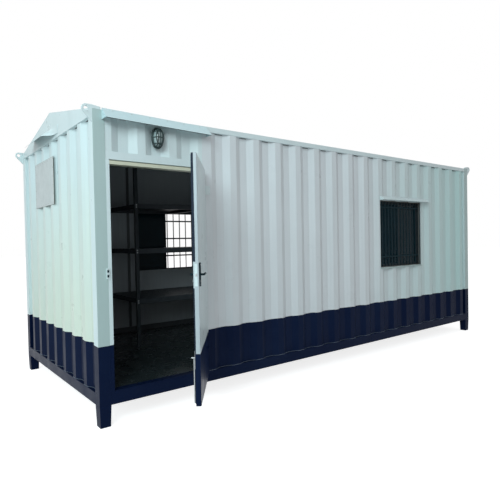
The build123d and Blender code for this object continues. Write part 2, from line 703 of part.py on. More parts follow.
# Storage rack along the back wall
rack_y1 = CABIN_WIDTH - WALL_THICKNESS - RACK_WALL_GAP
rack_y0 = rack_y1 - RACK_DEPTH
rack_posts = []
for x in (RACK_X, RACK_X + RACK_LENGTH - RACK_POST):
    for y in (rack_y0, rack_y1 - RACK_POST):
        rack_posts.append(tube_z(FLOOR_Z, FLOOR_Z + RACK_HEIGHT, x, y,
                                 RACK_POST, RACK_POST_WALL))
save("rack_posts", *rack_posts)

slat_width, slat_thickness = RACK_SLAT
shelves = []
for level in (RACK_LOWER_SHELF, RACK_MIDDLE_SHELF, RACK_UPPER_SHELF):
    z1 = FLOOR_Z + level
    z0 = z1 - slat_thickness
    x0, x1 = RACK_X + RACK_POST, RACK_X + RACK_LENGTH - RACK_POST
    shelf = block(x0, x1, rack_y0, rack_y0 + RACK_BEAM / 2, z0 - RACK_BEAM, z1)
    shelf += block(x0, x1, rack_y1 - RACK_BEAM / 2, rack_y1, z0 - RACK_BEAM, z1)
    for x in (x0, (x0 + x1) / 2 - RACK_BEAM / 2, x1 - RACK_BEAM):
        shelf += block(x, x + RACK_BEAM, rack_y0 + RACK_BEAM / 2,
                       rack_y1 - RACK_BEAM / 2, z0 - RACK_BEAM, z0)
    clear = RACK_DEPTH - RACK_BEAM
    gap = (clear - RACK_SLAT_COUNT * slat_width) / (RACK_SLAT_COUNT + 1)
    for i in range(RACK_SLAT_COUNT):
        y = rack_y0 + RACK_BEAM / 2 + gap + i * (slat_width + gap)
        shelf += block(x0, x1, y, y + slat_width, z0, z1)
    shelves.append(shelf)
save("rack_shelves", *shelves)
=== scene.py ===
"""Looks for the portable site cabin: paints, lining, floor and glass on the
solids, the lamp with its cage, and the small pieces laid on them, such as
seals, lock detail, joint strips, welds, screws and bolts. Then the lights, the
pale floor and the camera that matches the photograph.
"""

import json
import math

import bmesh
import bpy
from mathutils import Matrix, Vector

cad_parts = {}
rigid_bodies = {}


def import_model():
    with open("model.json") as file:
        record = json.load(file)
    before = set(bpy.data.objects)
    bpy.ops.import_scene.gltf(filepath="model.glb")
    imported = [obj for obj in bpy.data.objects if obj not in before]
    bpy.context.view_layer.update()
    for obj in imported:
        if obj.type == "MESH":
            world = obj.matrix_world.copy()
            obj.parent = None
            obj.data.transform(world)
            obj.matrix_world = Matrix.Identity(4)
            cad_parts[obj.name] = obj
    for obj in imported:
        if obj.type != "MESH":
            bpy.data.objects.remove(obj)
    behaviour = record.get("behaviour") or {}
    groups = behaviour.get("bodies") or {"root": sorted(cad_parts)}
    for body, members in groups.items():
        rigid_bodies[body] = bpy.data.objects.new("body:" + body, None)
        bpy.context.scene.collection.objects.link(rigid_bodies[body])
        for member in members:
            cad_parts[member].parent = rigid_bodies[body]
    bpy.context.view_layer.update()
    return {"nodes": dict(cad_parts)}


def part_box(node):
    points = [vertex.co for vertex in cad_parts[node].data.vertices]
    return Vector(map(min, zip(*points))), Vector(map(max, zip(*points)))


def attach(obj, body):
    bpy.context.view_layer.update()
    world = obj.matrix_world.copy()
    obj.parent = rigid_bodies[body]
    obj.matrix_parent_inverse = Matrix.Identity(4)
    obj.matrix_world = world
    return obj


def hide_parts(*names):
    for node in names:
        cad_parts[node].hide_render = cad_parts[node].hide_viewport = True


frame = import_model()
nodes = frame["nodes"]

# Sizes that line up with the solids, in metres
LENGTH, WIDTH = 6.096, 2.438
PLAN_CORNER = -0.050           # the cabin's front-left corner along X and Y
CORNER = 0.050                 # inner side of the near corner posts
FAR_CORNER = 0.150             # of the far ones, back from LENGTH or WIDTH
WALL_FACE_Y = -0.046
BAND_TOP = 0.677               # top of the navy band above the ground
HINGE = Vector((0.978, -0.075, 0.0))
LEAF_REST_ANGLE = math.radians(53.2)


# Materials
class Shade:
    """A node material under construction, with short calls for its nodes."""

    def __init__(self, name):
        self.mat = bpy.data.materials.new(name)
        self.mat.use_nodes = True
        self.tree = self.mat.node_tree
        self.out = self.tree.nodes["Material Output"]
        self.bsdf = self.tree.nodes["Principled BSDF"]
        coord = self.tree.nodes.new("ShaderNodeTexCoord")
        self.place = coord.outputs["Object"]

    def node(self, kind, **values):
        n = self.tree.nodes.new(kind)
        for key, value in values.items():
            setattr(n, key, value)
        return n

    def link(self, a, b):
        self.tree.links.new(a, b)

    def put(self, **values):
        """Uniform values on the shader's own sockets."""
        for key, value in values.items():
            socket = self.bsdf.inputs[key.replace("_", " ")]
            socket.default_value = (*value, 1.0) if isinstance(value, tuple) else value

    def noise(self, scale, detail=3.0, rough=0.55, stretch=(1, 1, 1)):
        m = self.node("ShaderNodeMapping")
        m.inputs["Scale"].default_value = stretch
        self.link(self.place, m.inputs["Vector"])
        n = self.node("ShaderNodeTexNoise")
        n.inputs["Scale"].default_value = scale
        n.inputs["Detail"].default_value = detail
        n.inputs["Roughness"].default_value = rough
        self.link(m.outputs["Vector"], n.inputs["Vector"])
        return n.outputs["Fac"]

    def ramp(self, fac, *stops):
        """Colour ramp: stops are (position, grey or colour)."""
        r = self.node("ShaderNodeValToRGB")
        e = r.color_ramp.elements
        while len(e) < len(stops):
            e.new(0.5)
        for el, (pos, col) in zip(e, stops):
            el.position = pos
            el.color = (*col, 1.0) if isinstance(col, tuple) else (col, col, col, 1.0)
        self.link(fac, r.inputs["Fac"])
        return r.outputs["Color"]

    def mix(self, fac, a, b, mode="MIX"):
        m = self.node("ShaderNodeMix", data_type="RGBA", blend_type=mode)
        for socket, value in ((m.inputs[0], fac), (m.inputs[6], a), (m.inputs[7], b)):
            if isinstance(value, bpy.types.NodeSocket):
                self.link(value, socket)
            elif isinstance(value, tuple):
                socket.default_value = (*value, 1.0)
            else:
                socket.default_value = value
        return m.outputs[2]

    def math(self, op, a, b=0.0):
        m = self.node("ShaderNodeMath", operation=op)
        for socket, value in ((m.inputs[0], a), (m.inputs[1], b)):
            if isinstance(value, bpy.types.NodeSocket):
                self.link(value, socket)
            else:
                socket.default_value = value
        return m.outputs[0]

    def axis(self, index):
        s = self.node("ShaderNodeSeparateXYZ")
        self.link(self.place, s.inputs[0])
        return s.outputs[index]

    def colour(self, source):
        self.link(source, self.bsdf.inputs["Base Color"])

    def roughness(self, source):
        self.link(source, self.bsdf.inputs["Roughness"])

    def bump(self, height, strength=0.2, distance=0.002):
        b = self.node("ShaderNodeBump")
        b.inputs["Strength"].default_value = strength
        b.inputs["Distance"].default_value = distance
        self.link(height, b.inputs["Height"])
        self.link(b.outputs["Normal"], self.bsdf.inputs["Normal"])


WHITE = (0.60, 0.70, 0.71)
# Warmer copy of WHITE for the front and back walls: painted light, standing in for the
# warmer light on those sides
FRONT_WARM_LIT_WHITE = (0.61, 0.66, 0.68)
# Darker copy of WHITE: painted shade on the front faces of the corner posts
POST_FRONT_SHADED_WHITE = (0.39, 0.50, 0.49)
# Darker copy of WHITE: painted shade on the door leaf towards its free edge
LEAF_EDGE_SHADED_WHITE = (0.41, 0.47, 0.50)
# Darker copy of WHITE: painted shade on the door canopy
CANOPY_SHADED_WHITE = (0.48, 0.63, 0.66)
# Painted shade: the front and back walls drift to this darker teal towards their far
# end
FAR_END_SHADED_TEAL = (0.42, 0.62, 0.60)
# Painted warm ground-bounce light: the end walls drift to this straw colour towards
# the bottom
BOUNCE_LIT_STRAW = (0.60, 0.67, 0.58)
NAVY = (0.003, 0.008, 0.030)
NAVY_WORN = (0.007, 0.015, 0.042)
CREAM = (0.56, 0.57, 0.45)
UPPER_GLOSS, NAVY_GLOSS = 0.20, 0.03
PATCH_SHADE, STREAK_SHADE, BRUSH_SHADE = 0.88, 0.86, 0.80
BAND_WOBBLE = 0.016            # of the band's hand-painted edge


def enamel(name, upper=WHITE, banded=True, tint=None, tint_axis=0, tint_from=0.0,
           tint_to=1.0, wander=0.8):
    """Brushed enamel, off-white over navy, parted at BAND_TOP.

    A tint is a second white that the upper colour drifts to along an axis,
    and wander is how far that drift strays, in metres.
    """
    s = Shade(name)
    worn = tuple(c * PATCH_SHADE for c in upper)
    patch = s.noise(0.9, 4.0, 0.6)
    streak = s.noise(3.0, 5.0, 0.6, (1.0, 1.0, 0.12))
    brush = s.noise(26.0, 3.0, 0.6, (1.0, 1.0, 0.04))
    top = s.mix(s.ramp(patch, (0.35, 0.0), (0.75, 0.55)), upper, worn)
    if tint:
        span = s.node("ShaderNodeMapRange")
        span.inputs["From Min"].default_value = tint_from
        span.inputs["From Max"].default_value = tint_to
        stray = s.math("MULTIPLY", s.math("SUBTRACT", s.noise(0.8, 2.0), 0.5), wander)
        s.link(s.math("ADD", s.axis(tint_axis), stray), span.inputs["Value"])
        top = s.mix(span.outputs["Result"], top, tint)
    top = s.mix(s.ramp(streak, (0.52, 0.0), (0.80, 0.35)), top,
                tuple(c * STREAK_SHADE for c in worn))
    top = s.mix(s.ramp(brush, (0.30, 0.10), (0.50, 0.0)), top,
                tuple(c * BRUSH_SHADE for c in upper))
    dents = s.noise(2.2, 2.0, 0.4)
    if banded:
        base = s.mix(s.ramp(patch, (0.40, 0.0), (0.80, 0.7)), NAVY, NAVY_WORN)
        dust = s.ramp(s.noise(14.0, 6.0, 0.65), (0.58, 0.0), (0.90, 0.10))
        base = s.mix(dust, base, (0.05, 0.06, 0.08))
        wobble = s.math("MULTIPLY", s.math("SUBTRACT", s.noise(7.0, 2.0), 0.5),
                        BAND_WOBBLE)
        height = s.math("ADD", s.axis(2), wobble)
        above = s.math("GREATER_THAN", height, BAND_TOP)
        s.colour(s.mix(above, base, top))
        gloss = s.math("ADD", s.math("MULTIPLY", above, UPPER_GLOSS - NAVY_GLOSS),
                       NAVY_GLOSS)
        s.link(gloss, s.bsdf.inputs["Specular IOR Level"])
    else:
        s.colour(top)
        s.put(Specular_IOR_Level=UPPER_GLOSS)
    s.roughness(s.ramp(s.noise(5.0, 4.0, 0.6), (0.30, 0.26), (0.75, 0.42)))
    fine = s.noise(240.0, 2.0, 0.5)
    height = s.math("ADD", s.math("MULTIPLY", fine, 0.10), dents)
    s.bump(height, 0.25, 0.006)
    return s.mat


def plain_paint(name, colour, worn, rough=(0.30, 0.45), scale=6.0, metallic=0.0,
                gloss=0.4):
    """One colour with cloudy wear, and a fine grain in the surface."""
    s = Shade(name)
    s.colour(s.mix(s.ramp(s.noise(scale, 5.0, 0.6), (0.40, 0.0), (0.78, 0.8)),
                   colour, worn))
    s.roughness(s.ramp(s.noise(scale * 2.0, 3.0), (0.30, rough[0]), (0.75, rough[1])))
    s.bump(s.noise(180.0, 2.0), 0.15, 0.001)
    s.put(Metallic=metallic, Specular_IOR_Level=gloss)
    return s.mat


def lining_board():
    """Laminated boards with a faint grain up the wall."""
    s = Shade("lining_board")
    grain = s.noise(60.0, 4.0, 0.6, (1.0, 1.0, 0.05))
    cloud = s.noise(1.6, 3.0, 0.5)
    c = s.mix(s.ramp(grain, (0.40, 0.0), (0.70, 0.6)),
              (0.27, 0.30, 0.32), (0.22, 0.245, 0.26))
    c = s.mix(s.ramp(cloud, (0.40, 0.0), (0.80, 0.45)), c, (0.31, 0.33, 0.335))
    s.colour(c)
    s.roughness(s.ramp(grain, (0.35, 0.40), (0.70, 0.55)))
    s.bump(grain, 0.12, 0.001)
    return s.mat


def floor_covering():
    """Dark vinyl sheet with fine flecks and scuffs."""
    s = Shade("floor_covering")
    fleck = s.node("ShaderNodeTexVoronoi")
    fleck.inputs["Scale"].default_value = 90.0
    s.link(s.place, fleck.inputs["Vector"])
    c = s.mix(s.ramp(fleck.outputs["Distance"], (0.10, 0.35), (0.30, 0.0)),
              (0.020, 0.028, 0.030), (0.036, 0.044, 0.046))
    scuff = s.ramp(s.noise(4.0, 6.0, 0.7), (0.50, 0.0), (0.85, 0.5))
    s.colour(s.mix(scuff, c, (0.040, 0.048, 0.048)))
    s.roughness(s.ramp(s.noise(6.0, 5.0, 0.6), (0.30, 0.16), (0.75, 0.40)))
    s.bump(s.noise(3.0, 2.0), 0.1, 0.003)
    return s.mat


def tinted_glass():
    """Dark panes that let a little light through."""
    s = Shade("tinted_glass")
    s.colour(s.mix(s.ramp(s.noise(2.0, 3.0), (0.4, 0.0), (0.8, 0.6)),
                   (0.003, 0.018, 0.026), (0.006, 0.026, 0.036)))
    s.put(Roughness=0.08, Alpha=0.92, Specular_IOR_Level=0.06)
    return s.mat


def ribbed_lamp_glass():
    """Dusty pressed glass with upright ribs."""
    s = Shade("lamp_glass")
    ribs = s.node("ShaderNodeTexWave", bands_direction="X")
    ribs.inputs["Scale"].default_value = 26.0
    s.link(s.place, ribs.inputs["Vector"])
    s.colour(s.mix(s.ramp(s.noise(30.0, 3.0), (0.4, 0.0), (0.8, 0.7)),
                   (0.30, 0.38, 0.38), (0.12, 0.17, 0.17)))
    s.bump(ribs.outputs["Fac"], 0.35, 0.002)
    s.put(Roughness=0.12, Coat_Weight=0.6, Coat_Roughness=0.05)
    return s.mat


MAT = {
    "enamel": enamel("off_white_enamel"),
    # Front and back walls: a warmer white as painted light, drifting past X 3.4 to a
    # darker teal as painted shade
    "wall": enamel("front_wall_enamel_lit_and_shaded", FRONT_WARM_LIT_WHITE, tint=FAR_END_SHADED_TEAL, tint_from=3.4,
                   tint_to=6.2),
    # End walls: white above, drifting below 2.3 m to straw, painted ground-bounce
    # light
    "end": enamel("end_wall_enamel_bounce_lit", tint=BOUNCE_LIT_STRAW, tint_axis=2, tint_from=2.3,
                  tint_to=0.9),
    # Posts: the front face in a darker white as painted shade, the faces behind it in
    # WHITE
    "post": enamel("post_enamel_shaded_front", POST_FRONT_SHADED_WHITE, tint=WHITE, tint_axis=1,
                   tint_from=-0.0485, tint_to=-0.0440, wander=0.0),
    # Door leaf: darker white towards the free edge as painted shade, WHITE on the rest
    "leaf": enamel("leaf_enamel_shaded_edge", LEAF_EDGE_SHADED_WHITE, tint=WHITE, tint_axis=1,
                   tint_from=-0.800, tint_to=-0.770, wander=0.0),
    # Canopy: a darker white all over, painted shade
    "canopy": enamel("canopy_enamel_shaded", CANOPY_SHADED_WHITE, False),
    "cream": enamel("cream_enamel", CREAM, False),
    "roof": enamel("roof_enamel", WHITE, False),
    "cover": plain_paint("cover_sheet", (0.48, 0.53, 0.53), (0.42, 0.46, 0.46)),
    "board": lining_board(),
    "floor": floor_covering(),
    "glass": tinted_glass(),
    "dark": plain_paint("dark_steel", (0.006, 0.018, 0.024), (0.014, 0.031, 0.038),
                        (0.45, 0.65), 25.0, 0.0, 0.04),
    "rack": plain_paint("rack_steel", (0.024, 0.030, 0.036), (0.040, 0.048, 0.054),
                        (0.40, 0.60), 18.0, 0.0, 0.25),
    "lamp": plain_paint("lamp_casting", (0.010, 0.026, 0.026), (0.026, 0.048, 0.046),
                        (0.40, 0.60), 60.0),
    "lamp_glass": ribbed_lamp_glass(),
    "zinc": plain_paint("zinc_plate", (0.42, 0.44, 0.45), (0.30, 0.31, 0.32),
                        (0.30, 0.50), 40.0, 0.9),
    "painted_screw": plain_paint("painted_screw", (0.50, 0.58, 0.58),
                                 (0.40, 0.46, 0.46), (0.35, 0.50), 60.0),
    "rubber": plain_paint("door_seal", (0.006, 0.012, 0.026), (0.012, 0.022, 0.040),
                          (0.55, 0.75), 30.0, 0.0, 0.2),
    "sealant": plain_paint("sealant", (0.19, 0.18, 0.15), (0.10, 0.10, 0.08),
                           (0.50, 0.70), 25.0),
    "shadow_line": plain_paint("shadow_gap", (0.020, 0.024, 0.026), (0.050, 0.048, 0.042),
                       (0.60, 0.80), 20.0, 0.0, 0.1),
    "weld": plain_paint("rubbed_weld", (0.09, 0.12, 0.16), (0.010, 0.018, 0.036),
                        (0.35, 0.55), 9.0),
    "strip": plain_paint("joint_strip", (0.040, 0.046, 0.052), (0.060, 0.066, 0.070),
                         (0.40, 0.60), 20.0),
    "alu": plain_paint("dark_aluminium", (0.016, 0.022, 0.026), (0.030, 0.038, 0.042),
                       (0.45, 0.60), 25.0, 0.0, 0.08),
}

# Which nodes wear which material
WEARS = {
    "enamel": ("base_side_rails", "base_end_rails", "floor_joists", "corner_feet",
               "top_side_rails", "top_end_rails", "front_wall_over_door",
               "door_header", "gable_plates", "front_window_shade",
               "end_rain_hood", "lifting_lugs", "door_jambs", "door_sill",
               "hinge_leaf_knuckles", "hinge_frame_knuckles",
               "wall_plate", "lock_keeper"),
    "wall": ("front_wall", "back_wall", "back_wall_at_window"),
    "end": ("left_end_wall", "right_end_wall"),
    "post": ("corner_posts",),
    "leaf": ("door_leaf",),
    "canopy": ("door_canopy",),
    "cream": ("door_head",),
    "roof": ("roof_front_slope", "roof_back_slope", "ridge_cap"),
    "cover": ("air_conditioner_cover",),
    "board": ("front_lining", "front_lining_over_door", "back_lining",
              "back_lining_at_window", "end_linings", "ceiling"),
    "floor": ("floor_deck",),
    "glass": ("front_window_glass", "back_window_glass"),
    "dark": ("front_window_grille", "back_window_grille", "door_lock",
             "door_handles"),
    "rack": ("rack_posts", "rack_shelves"),
    "alu": ("front_window_sashes", "back_window_sashes", "front_window_frame",
            "back_window_frame"),
}
for finish, names in WEARS.items():
    for name in names:
        mesh = nodes[name].data
        mesh.materials.clear()
        mesh.materials.append(MAT[finish])

# Eased edges on the heavier sections: a weld joins the faces, then a bevel
# rounds what is sharper than EASED_ANGLE
EASED_ANGLE = math.radians(30.0)
WELD_REACH = 0.0001
EASED = {
    0.0015: ("corner_posts", "top_side_rails", "top_end_rails", "base_side_rails",
             "base_end_rails", "rack_posts"),
    0.0020: ("corner_feet", "door_leaf", "door_jambs", "door_header", "lifting_lugs"),
    0.0008: ("door_lock", "lock_keeper", "wall_plate", "front_window_grille",
             "back_window_grille", "front_window_frame", "back_window_frame",
             "rack_shelves"),
}
for width, names in EASED.items():
    for name in names:
        weld = nodes[name].modifiers.new("weld", "WELD")
        weld.merge_threshold = WELD_REACH
        bevel = nodes[name].modifiers.new("bevel", "BEVEL")
        bevel.width = width
        bevel.segments = 2
        bevel.limit_method = "ANGLE"
        bevel.angle_limit = EASED_ANGLE


# Geometry Nodes for what repeats or follows a path
class Pattern:
    """A Geometry Nodes tree under construction, with its sizes as inputs."""

    def __init__(self, name, **sizes):
        self.tree = bpy.data.node_groups.new(name, "GeometryNodeTree")
        face = self.tree.interface
        face.new_socket("Layout", in_out="INPUT", socket_type="NodeSocketGeometry")
        self.ids = {}
        kinds = {int: "NodeSocketInt", float: "NodeSocketFloat"}
        for key, value in sizes.items():
            socket = face.new_socket(key, in_out="INPUT",
                                     socket_type=kinds[type(value)])
            socket.default_value = value
            self.ids[key] = socket.identifier
        socket = face.new_socket("Finish", in_out="INPUT",
                                 socket_type="NodeSocketMaterial")
        self.ids["Finish"] = socket.identifier
        face.new_socket("Pieces", in_out="OUTPUT", socket_type="NodeSocketGeometry")
        self.start = self.tree.nodes.new("NodeGroupInput")
        self.end = self.tree.nodes.new("NodeGroupOutput")

    def add(self, kind, links=None, **values):
        """A node, with its inputs by name or number."""
        n = self.tree.nodes.new(kind)
        for key, value in values.items():
            setattr(n, key, value)
        for key, value in (links or {}).items():
            if isinstance(value, bpy.types.NodeSocket):
                self.tree.links.new(value, n.inputs[key])
            else:
                n.inputs[key].default_value = value
        return n

    def size(self, key):
        return self.start.outputs[key]

    def close(self, geometry):
        """Realize Instances, Set Material, and out."""
        real = self.add("GeometryNodeRealizeInstances", {0: geometry})
        painted = self.add("GeometryNodeSetMaterial",
                           {"Geometry": real.outputs[0],
                            "Material": self.size("Finish")})
        self.tree.links.new(painted.outputs[0], self.end.inputs[0])
        return self


BEND_STEPS = 4
WASHER_SIDES, WASHER_RISE = 12, 0.0012
HEAD_LIFT, HEAD_TOP = 0.0011, 0.82     # top radius as a share of the foot's


def rod_pattern():
    """Round rod along the edges of a layout."""
    p = Pattern("rod_along_path", Radius=0.004, Bend=0.0, Sides=8)
    path = p.add("GeometryNodeMeshToCurve", {0: p.start.outputs[0]})
    bent = p.add("GeometryNodeFilletCurve",
                 {"Curve": path.outputs[0], "Radius": p.size("Bend"),
                  "Count": BEND_STEPS, "Limit Radius": True}, mode="POLY")
    ring = p.add("GeometryNodeCurvePrimitiveCircle",
                 {"Resolution": p.size("Sides"), "Radius": p.size("Radius")})
    rod = p.add("GeometryNodeCurveToMesh",
                {"Curve": bent.outputs[0], "Profile Curve": ring.outputs[0],
                 "Fill Caps": True})
    smooth = p.add("GeometryNodeSetShadeSmooth", {0: rod.outputs[0]})
    return p.close(smooth.outputs[0])


def screw_pattern():
    """A washer and a domed or six-sided head on each point of a layout."""
    p = Pattern("screws_on_points", Washer=0.008, Head=0.005, Rise=0.003, Sides=6)
    washer = p.add("GeometryNodeMeshCone",
                   {"Vertices": WASHER_SIDES, "Radius Top": p.size("Head"),
                    "Radius Bottom": p.size("Washer"), "Depth": WASHER_RISE})
    half = p.add("ShaderNodeMath", {0: p.size("Head"), 1: HEAD_TOP},
                 operation="MULTIPLY")
    head = p.add("GeometryNodeMeshCone",
                 {"Vertices": p.size("Sides"), "Radius Top": half.outputs[0],
                  "Radius Bottom": p.size("Head"), "Depth": p.size("Rise")})
    lift = p.add("ShaderNodeCombineXYZ", {"Z": HEAD_LIFT})
    raised = p.add("GeometryNodeTransform",
                   {"Geometry": head.outputs[0], "Translation": lift.outputs[0]})
    one = p.add("GeometryNodeJoinGeometry")
    p.tree.links.new(washer.outputs[0], one.inputs[0])
    p.tree.links.new(raised.outputs[0], one.inputs[0])
    facing = p.add("GeometryNodeInputNamedAttribute", {"Name": "facing"},
                   data_type="FLOAT_VECTOR")
    turn = p.add("FunctionNodeAlignRotationToVector",
                 {"Vector": facing.outputs[0]}, axis="Z")
    many = p.add("GeometryNodeInstanceOnPoints",
                 {"Points": p.start.outputs[0], "Instance": one.outputs[0],
                  "Rotation": turn.outputs[0]})
    return p.close(many.outputs[0])


ROD = rod_pattern()
SCREW = screw_pattern()


def place(name, mesh, finish, body="cabin"):
    """A finished mesh as a piece that rides on a body."""
    piece = bpy.data.objects.new(name, mesh)
    bpy.context.collection.objects.link(piece)
    if not mesh.materials:
        mesh.materials.append(MAT[finish])
    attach(piece, body)
    return piece


def grow(name, layout, pattern, finish, body="cabin", **sizes):
    """Run a pattern on a layout mesh and keep the result as a plain mesh."""
    source = bpy.data.objects.new(name + "_layout", layout)
    bpy.context.collection.objects.link(source)
    modifier = source.modifiers.new("pattern", "NODES")
    modifier.node_group = pattern.tree
    for key, value in sizes.items():
        modifier[pattern.ids[key]] = value
    modifier[pattern.ids["Finish"]] = MAT[finish]
    graph = bpy.context.evaluated_depsgraph_get()
    mesh = bpy.data.meshes.new_from_object(source.evaluated_get(graph))
    source.modifiers.remove(modifier)
    bpy.data.objects.remove(source)
    mesh.name = name
    return place(name, mesh, finish, body)


def rods(name, paths, finish, body="cabin", **sizes):
    """Round rods along paths: each path is (points, closed)."""
    verts, edges = [], []
    for points, closed in paths:
        first = len(verts)
        verts += [tuple(p) for p in points]
        edges += [(first + i, first + i + 1) for i in range(len(points) - 1)]
        if closed:
            edges.append((len(verts) - 1, first))
    layout = bpy.data.meshes.new(name + "_path")
    layout.from_pydata(verts, edges, [])
    return grow(name, layout, ROD, finish, body, **sizes)


def screws(name, spots, finish, body="cabin", **sizes):
    """Screws on spots: each spot is (point, facing direction)."""
    layout = bpy.data.meshes.new(name + "_spots")
    layout.from_pydata([tuple(p) for p, _ in spots], [], [])
    facing = layout.attributes.new("facing", "FLOAT_VECTOR", "POINT")
    for item, (_, direction) in zip(facing.data, spots):
        item.vector = tuple(direction)
    return grow(name, layout, SCREW, finish, body, **sizes)


def swung(point):
    """From the door leaf's shut place to its place at rest."""
    turn = Matrix.Rotation(LEAF_REST_ANGLE, 4, "Z")
    return HINGE + turn @ (Vector(point) - HINGE)


def strips(name, boxes, finish, body="cabin", bevel=0.001, turn=None):
    """Bars with eased edges between corners (x0, x1, y0, y1, z0, z1).

    A turn is a function that moves each corner, such as swung.
    """
    bm = bmesh.new()
    for x0, x1, y0, y1, z0, z1 in boxes:
        made = bmesh.ops.create_cube(bm, size=1.0)["verts"]
        for v in made:
            v.co = Vector(((x0 + x1) / 2 + v.co.x * (x1 - x0),
                           (y0 + y1) / 2 + v.co.y * (y1 - y0),
                           (z0 + z1) / 2 + v.co.z * (z1 - z0)))
    bmesh.ops.bevel(bm, geom=bm.edges[:], offset=bevel, segments=2,
                    affect="EDGES", profile=0.5)
    if turn:
        for v in bm.verts:
            v.co = turn(v.co)
    mesh = bpy.data.meshes.new(name)
    bm.to_mesh(mesh)
    bm.free()
    return place(name, mesh, finish, body)


# Lamp: casting, ribbed glass and a wire cage
lamp_low, lamp_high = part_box("lamp")
LAMP_MID = (lamp_low + lamp_high) / 2
HALF_WIDTH = (lamp_high.x - lamp_low.x) / 2
HALF_HEIGHT = (lamp_high.z - lamp_low.z) / 2
LAMP_REACH = WALL_FACE_Y - lamp_low.y
OVAL_STEPS, OVAL_POWER = 48, 0.85      # a power of 1 is an ellipse
LAMP_ROOT = 0.034              # its foot reaches back to the sheet's recess
GLASS_STEPS, GLASS_POWER = 8, 0.62
GLASS_TIP = 0.002              # radius of the glass where it closes
GLASS_FOOT, CAGE_FOOT = 0.015, 0.018
CAGE_STEPS, CAGE_POWER = 12, 3.2
CAGE_UPRIGHTS, CAGE_CROSSES = (-0.45, 0.0, 0.45), (-0.62, 0.0, 0.62)


def lamp_ring(half_width, half_height, out):
    """Rounded oval parallel to the wall, out metres in front of it."""
    points = []
    for i in range(OVAL_STEPS):
        t = 2 * math.pi * i / OVAL_STEPS
        c, s = math.cos(t), math.sin(t)
        points.append(Vector((
            LAMP_MID.x + half_width * math.copysign(abs(c) ** OVAL_POWER, c),
            WALL_FACE_Y - out,
            LAMP_MID.z + half_height * math.copysign(abs(s) ** OVAL_POWER, s))))
    return points


def lamp_shell(name, rings, finish):
    """Closed shell through rings, capped at both ends."""
    bm = bmesh.new()
    loops = [[bm.verts.new(p) for p in lamp_ring(*ring)] for ring in rings]
    for a, b in zip(loops, loops[1:]):
        for i in range(OVAL_STEPS):
            j = (i + 1) % OVAL_STEPS
            bm.faces.new((a[i], a[j], b[j], b[i]))
    bm.faces.new(loops[0][::-1])
    bm.faces.new(loops[-1])
    bmesh.ops.recalc_face_normals(bm, faces=bm.faces[:])
    for face in bm.faces:
        face.smooth = len(face.verts) == 4
    mesh = bpy.data.meshes.new(name)
    bm.to_mesh(mesh)
    bm.free()
    return place(name, mesh, finish)


# Casting from the wall out: half width, half height, and the distance out
lamp_base = lamp_shell("lamp_base", [
    (HALF_WIDTH * 0.60, HALF_HEIGHT * 0.70, -LAMP_ROOT),
    (HALF_WIDTH * 0.62, HALF_HEIGHT * 0.72, 0.0),
    (HALF_WIDTH - 0.004, HALF_HEIGHT - 0.004, 0.0),
    (HALF_WIDTH - 0.001, HALF_HEIGHT - 0.001, 0.003),
    (HALF_WIDTH - 0.001, HALF_HEIGHT - 0.001, 0.012),
    (HALF_WIDTH - 0.004, HALF_HEIGHT - 0.004, 0.017),
    (HALF_WIDTH - 0.011, HALF_HEIGHT - 0.013, 0.019),
    (HALF_WIDTH - 0.013, HALF_HEIGHT - 0.015, 0.016)], "lamp")
glass_rings = []
for i in range(GLASS_STEPS + 1):
    t = i / GLASS_STEPS * math.pi / 2
    narrow = math.cos(t) ** GLASS_POWER
    glass_rings.append(((HALF_WIDTH - 0.014) * narrow + GLASS_TIP,
                        (HALF_HEIGHT - 0.017) * narrow + GLASS_TIP,
                        GLASS_FOOT + (LAMP_REACH - 0.028) * math.sin(t)))
lamp_glass = lamp_shell("lamp_glass", glass_rings, "lamp_glass")


def cage_point(across, up):
    """Point on the cage over the glass: across and up run from -1 to 1."""
    r = min(1.0, math.hypot(across, up))
    dome = math.sqrt(max(0.0, 1 - r ** CAGE_POWER))
    out = CAGE_FOOT + (LAMP_REACH - 0.024) * dome
    return Vector((LAMP_MID.x + across * (HALF_WIDTH - 0.008), WALL_FACE_Y - out,
                   LAMP_MID.z + up * (HALF_HEIGHT - 0.010)))


def cage_arc(fixed, along_up):
    """Arc of the cage from rim to rim."""
    span = math.sqrt(1 - fixed ** 2)
    steps = [span * math.sin(math.pi * (i / CAGE_STEPS - 0.5))
             for i in range(CAGE_STEPS + 1)]
    return ([cage_point(fixed, u) if along_up else cage_point(u, fixed)
             for u in steps], False)


cage_paths = [(lamp_ring(HALF_WIDTH - 0.006, HALF_HEIGHT - 0.008, 0.021), True),
              (lamp_ring(HALF_WIDTH * 0.62, HALF_HEIGHT * 0.66, LAMP_REACH * 0.80),
               True)]
cage_paths += [cage_arc(x, True) for x in CAGE_UPRIGHTS]
cage_paths += [cage_arc(z, False) for z in CAGE_CROSSES]
lamp_cage = rods("lamp_cage", cage_paths, "lamp", Radius=0.0042, Sides=8)
screws("lamp_screws", [((LAMP_MID.x + sx * (HALF_WIDTH - 0.016),
                         WALL_FACE_Y - 0.0185,
                         LAMP_MID.z + sz * (HALF_HEIGHT - 0.030)), (0, -1, 0))
                       for sx in (-1, 1) for sz in (-1, 1)], "zinc",
       Washer=0.0045, Head=0.0030, Rise=0.002, Sides=10)
for piece in (lamp_base, lamp_glass, lamp_cage):
    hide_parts("lamp")

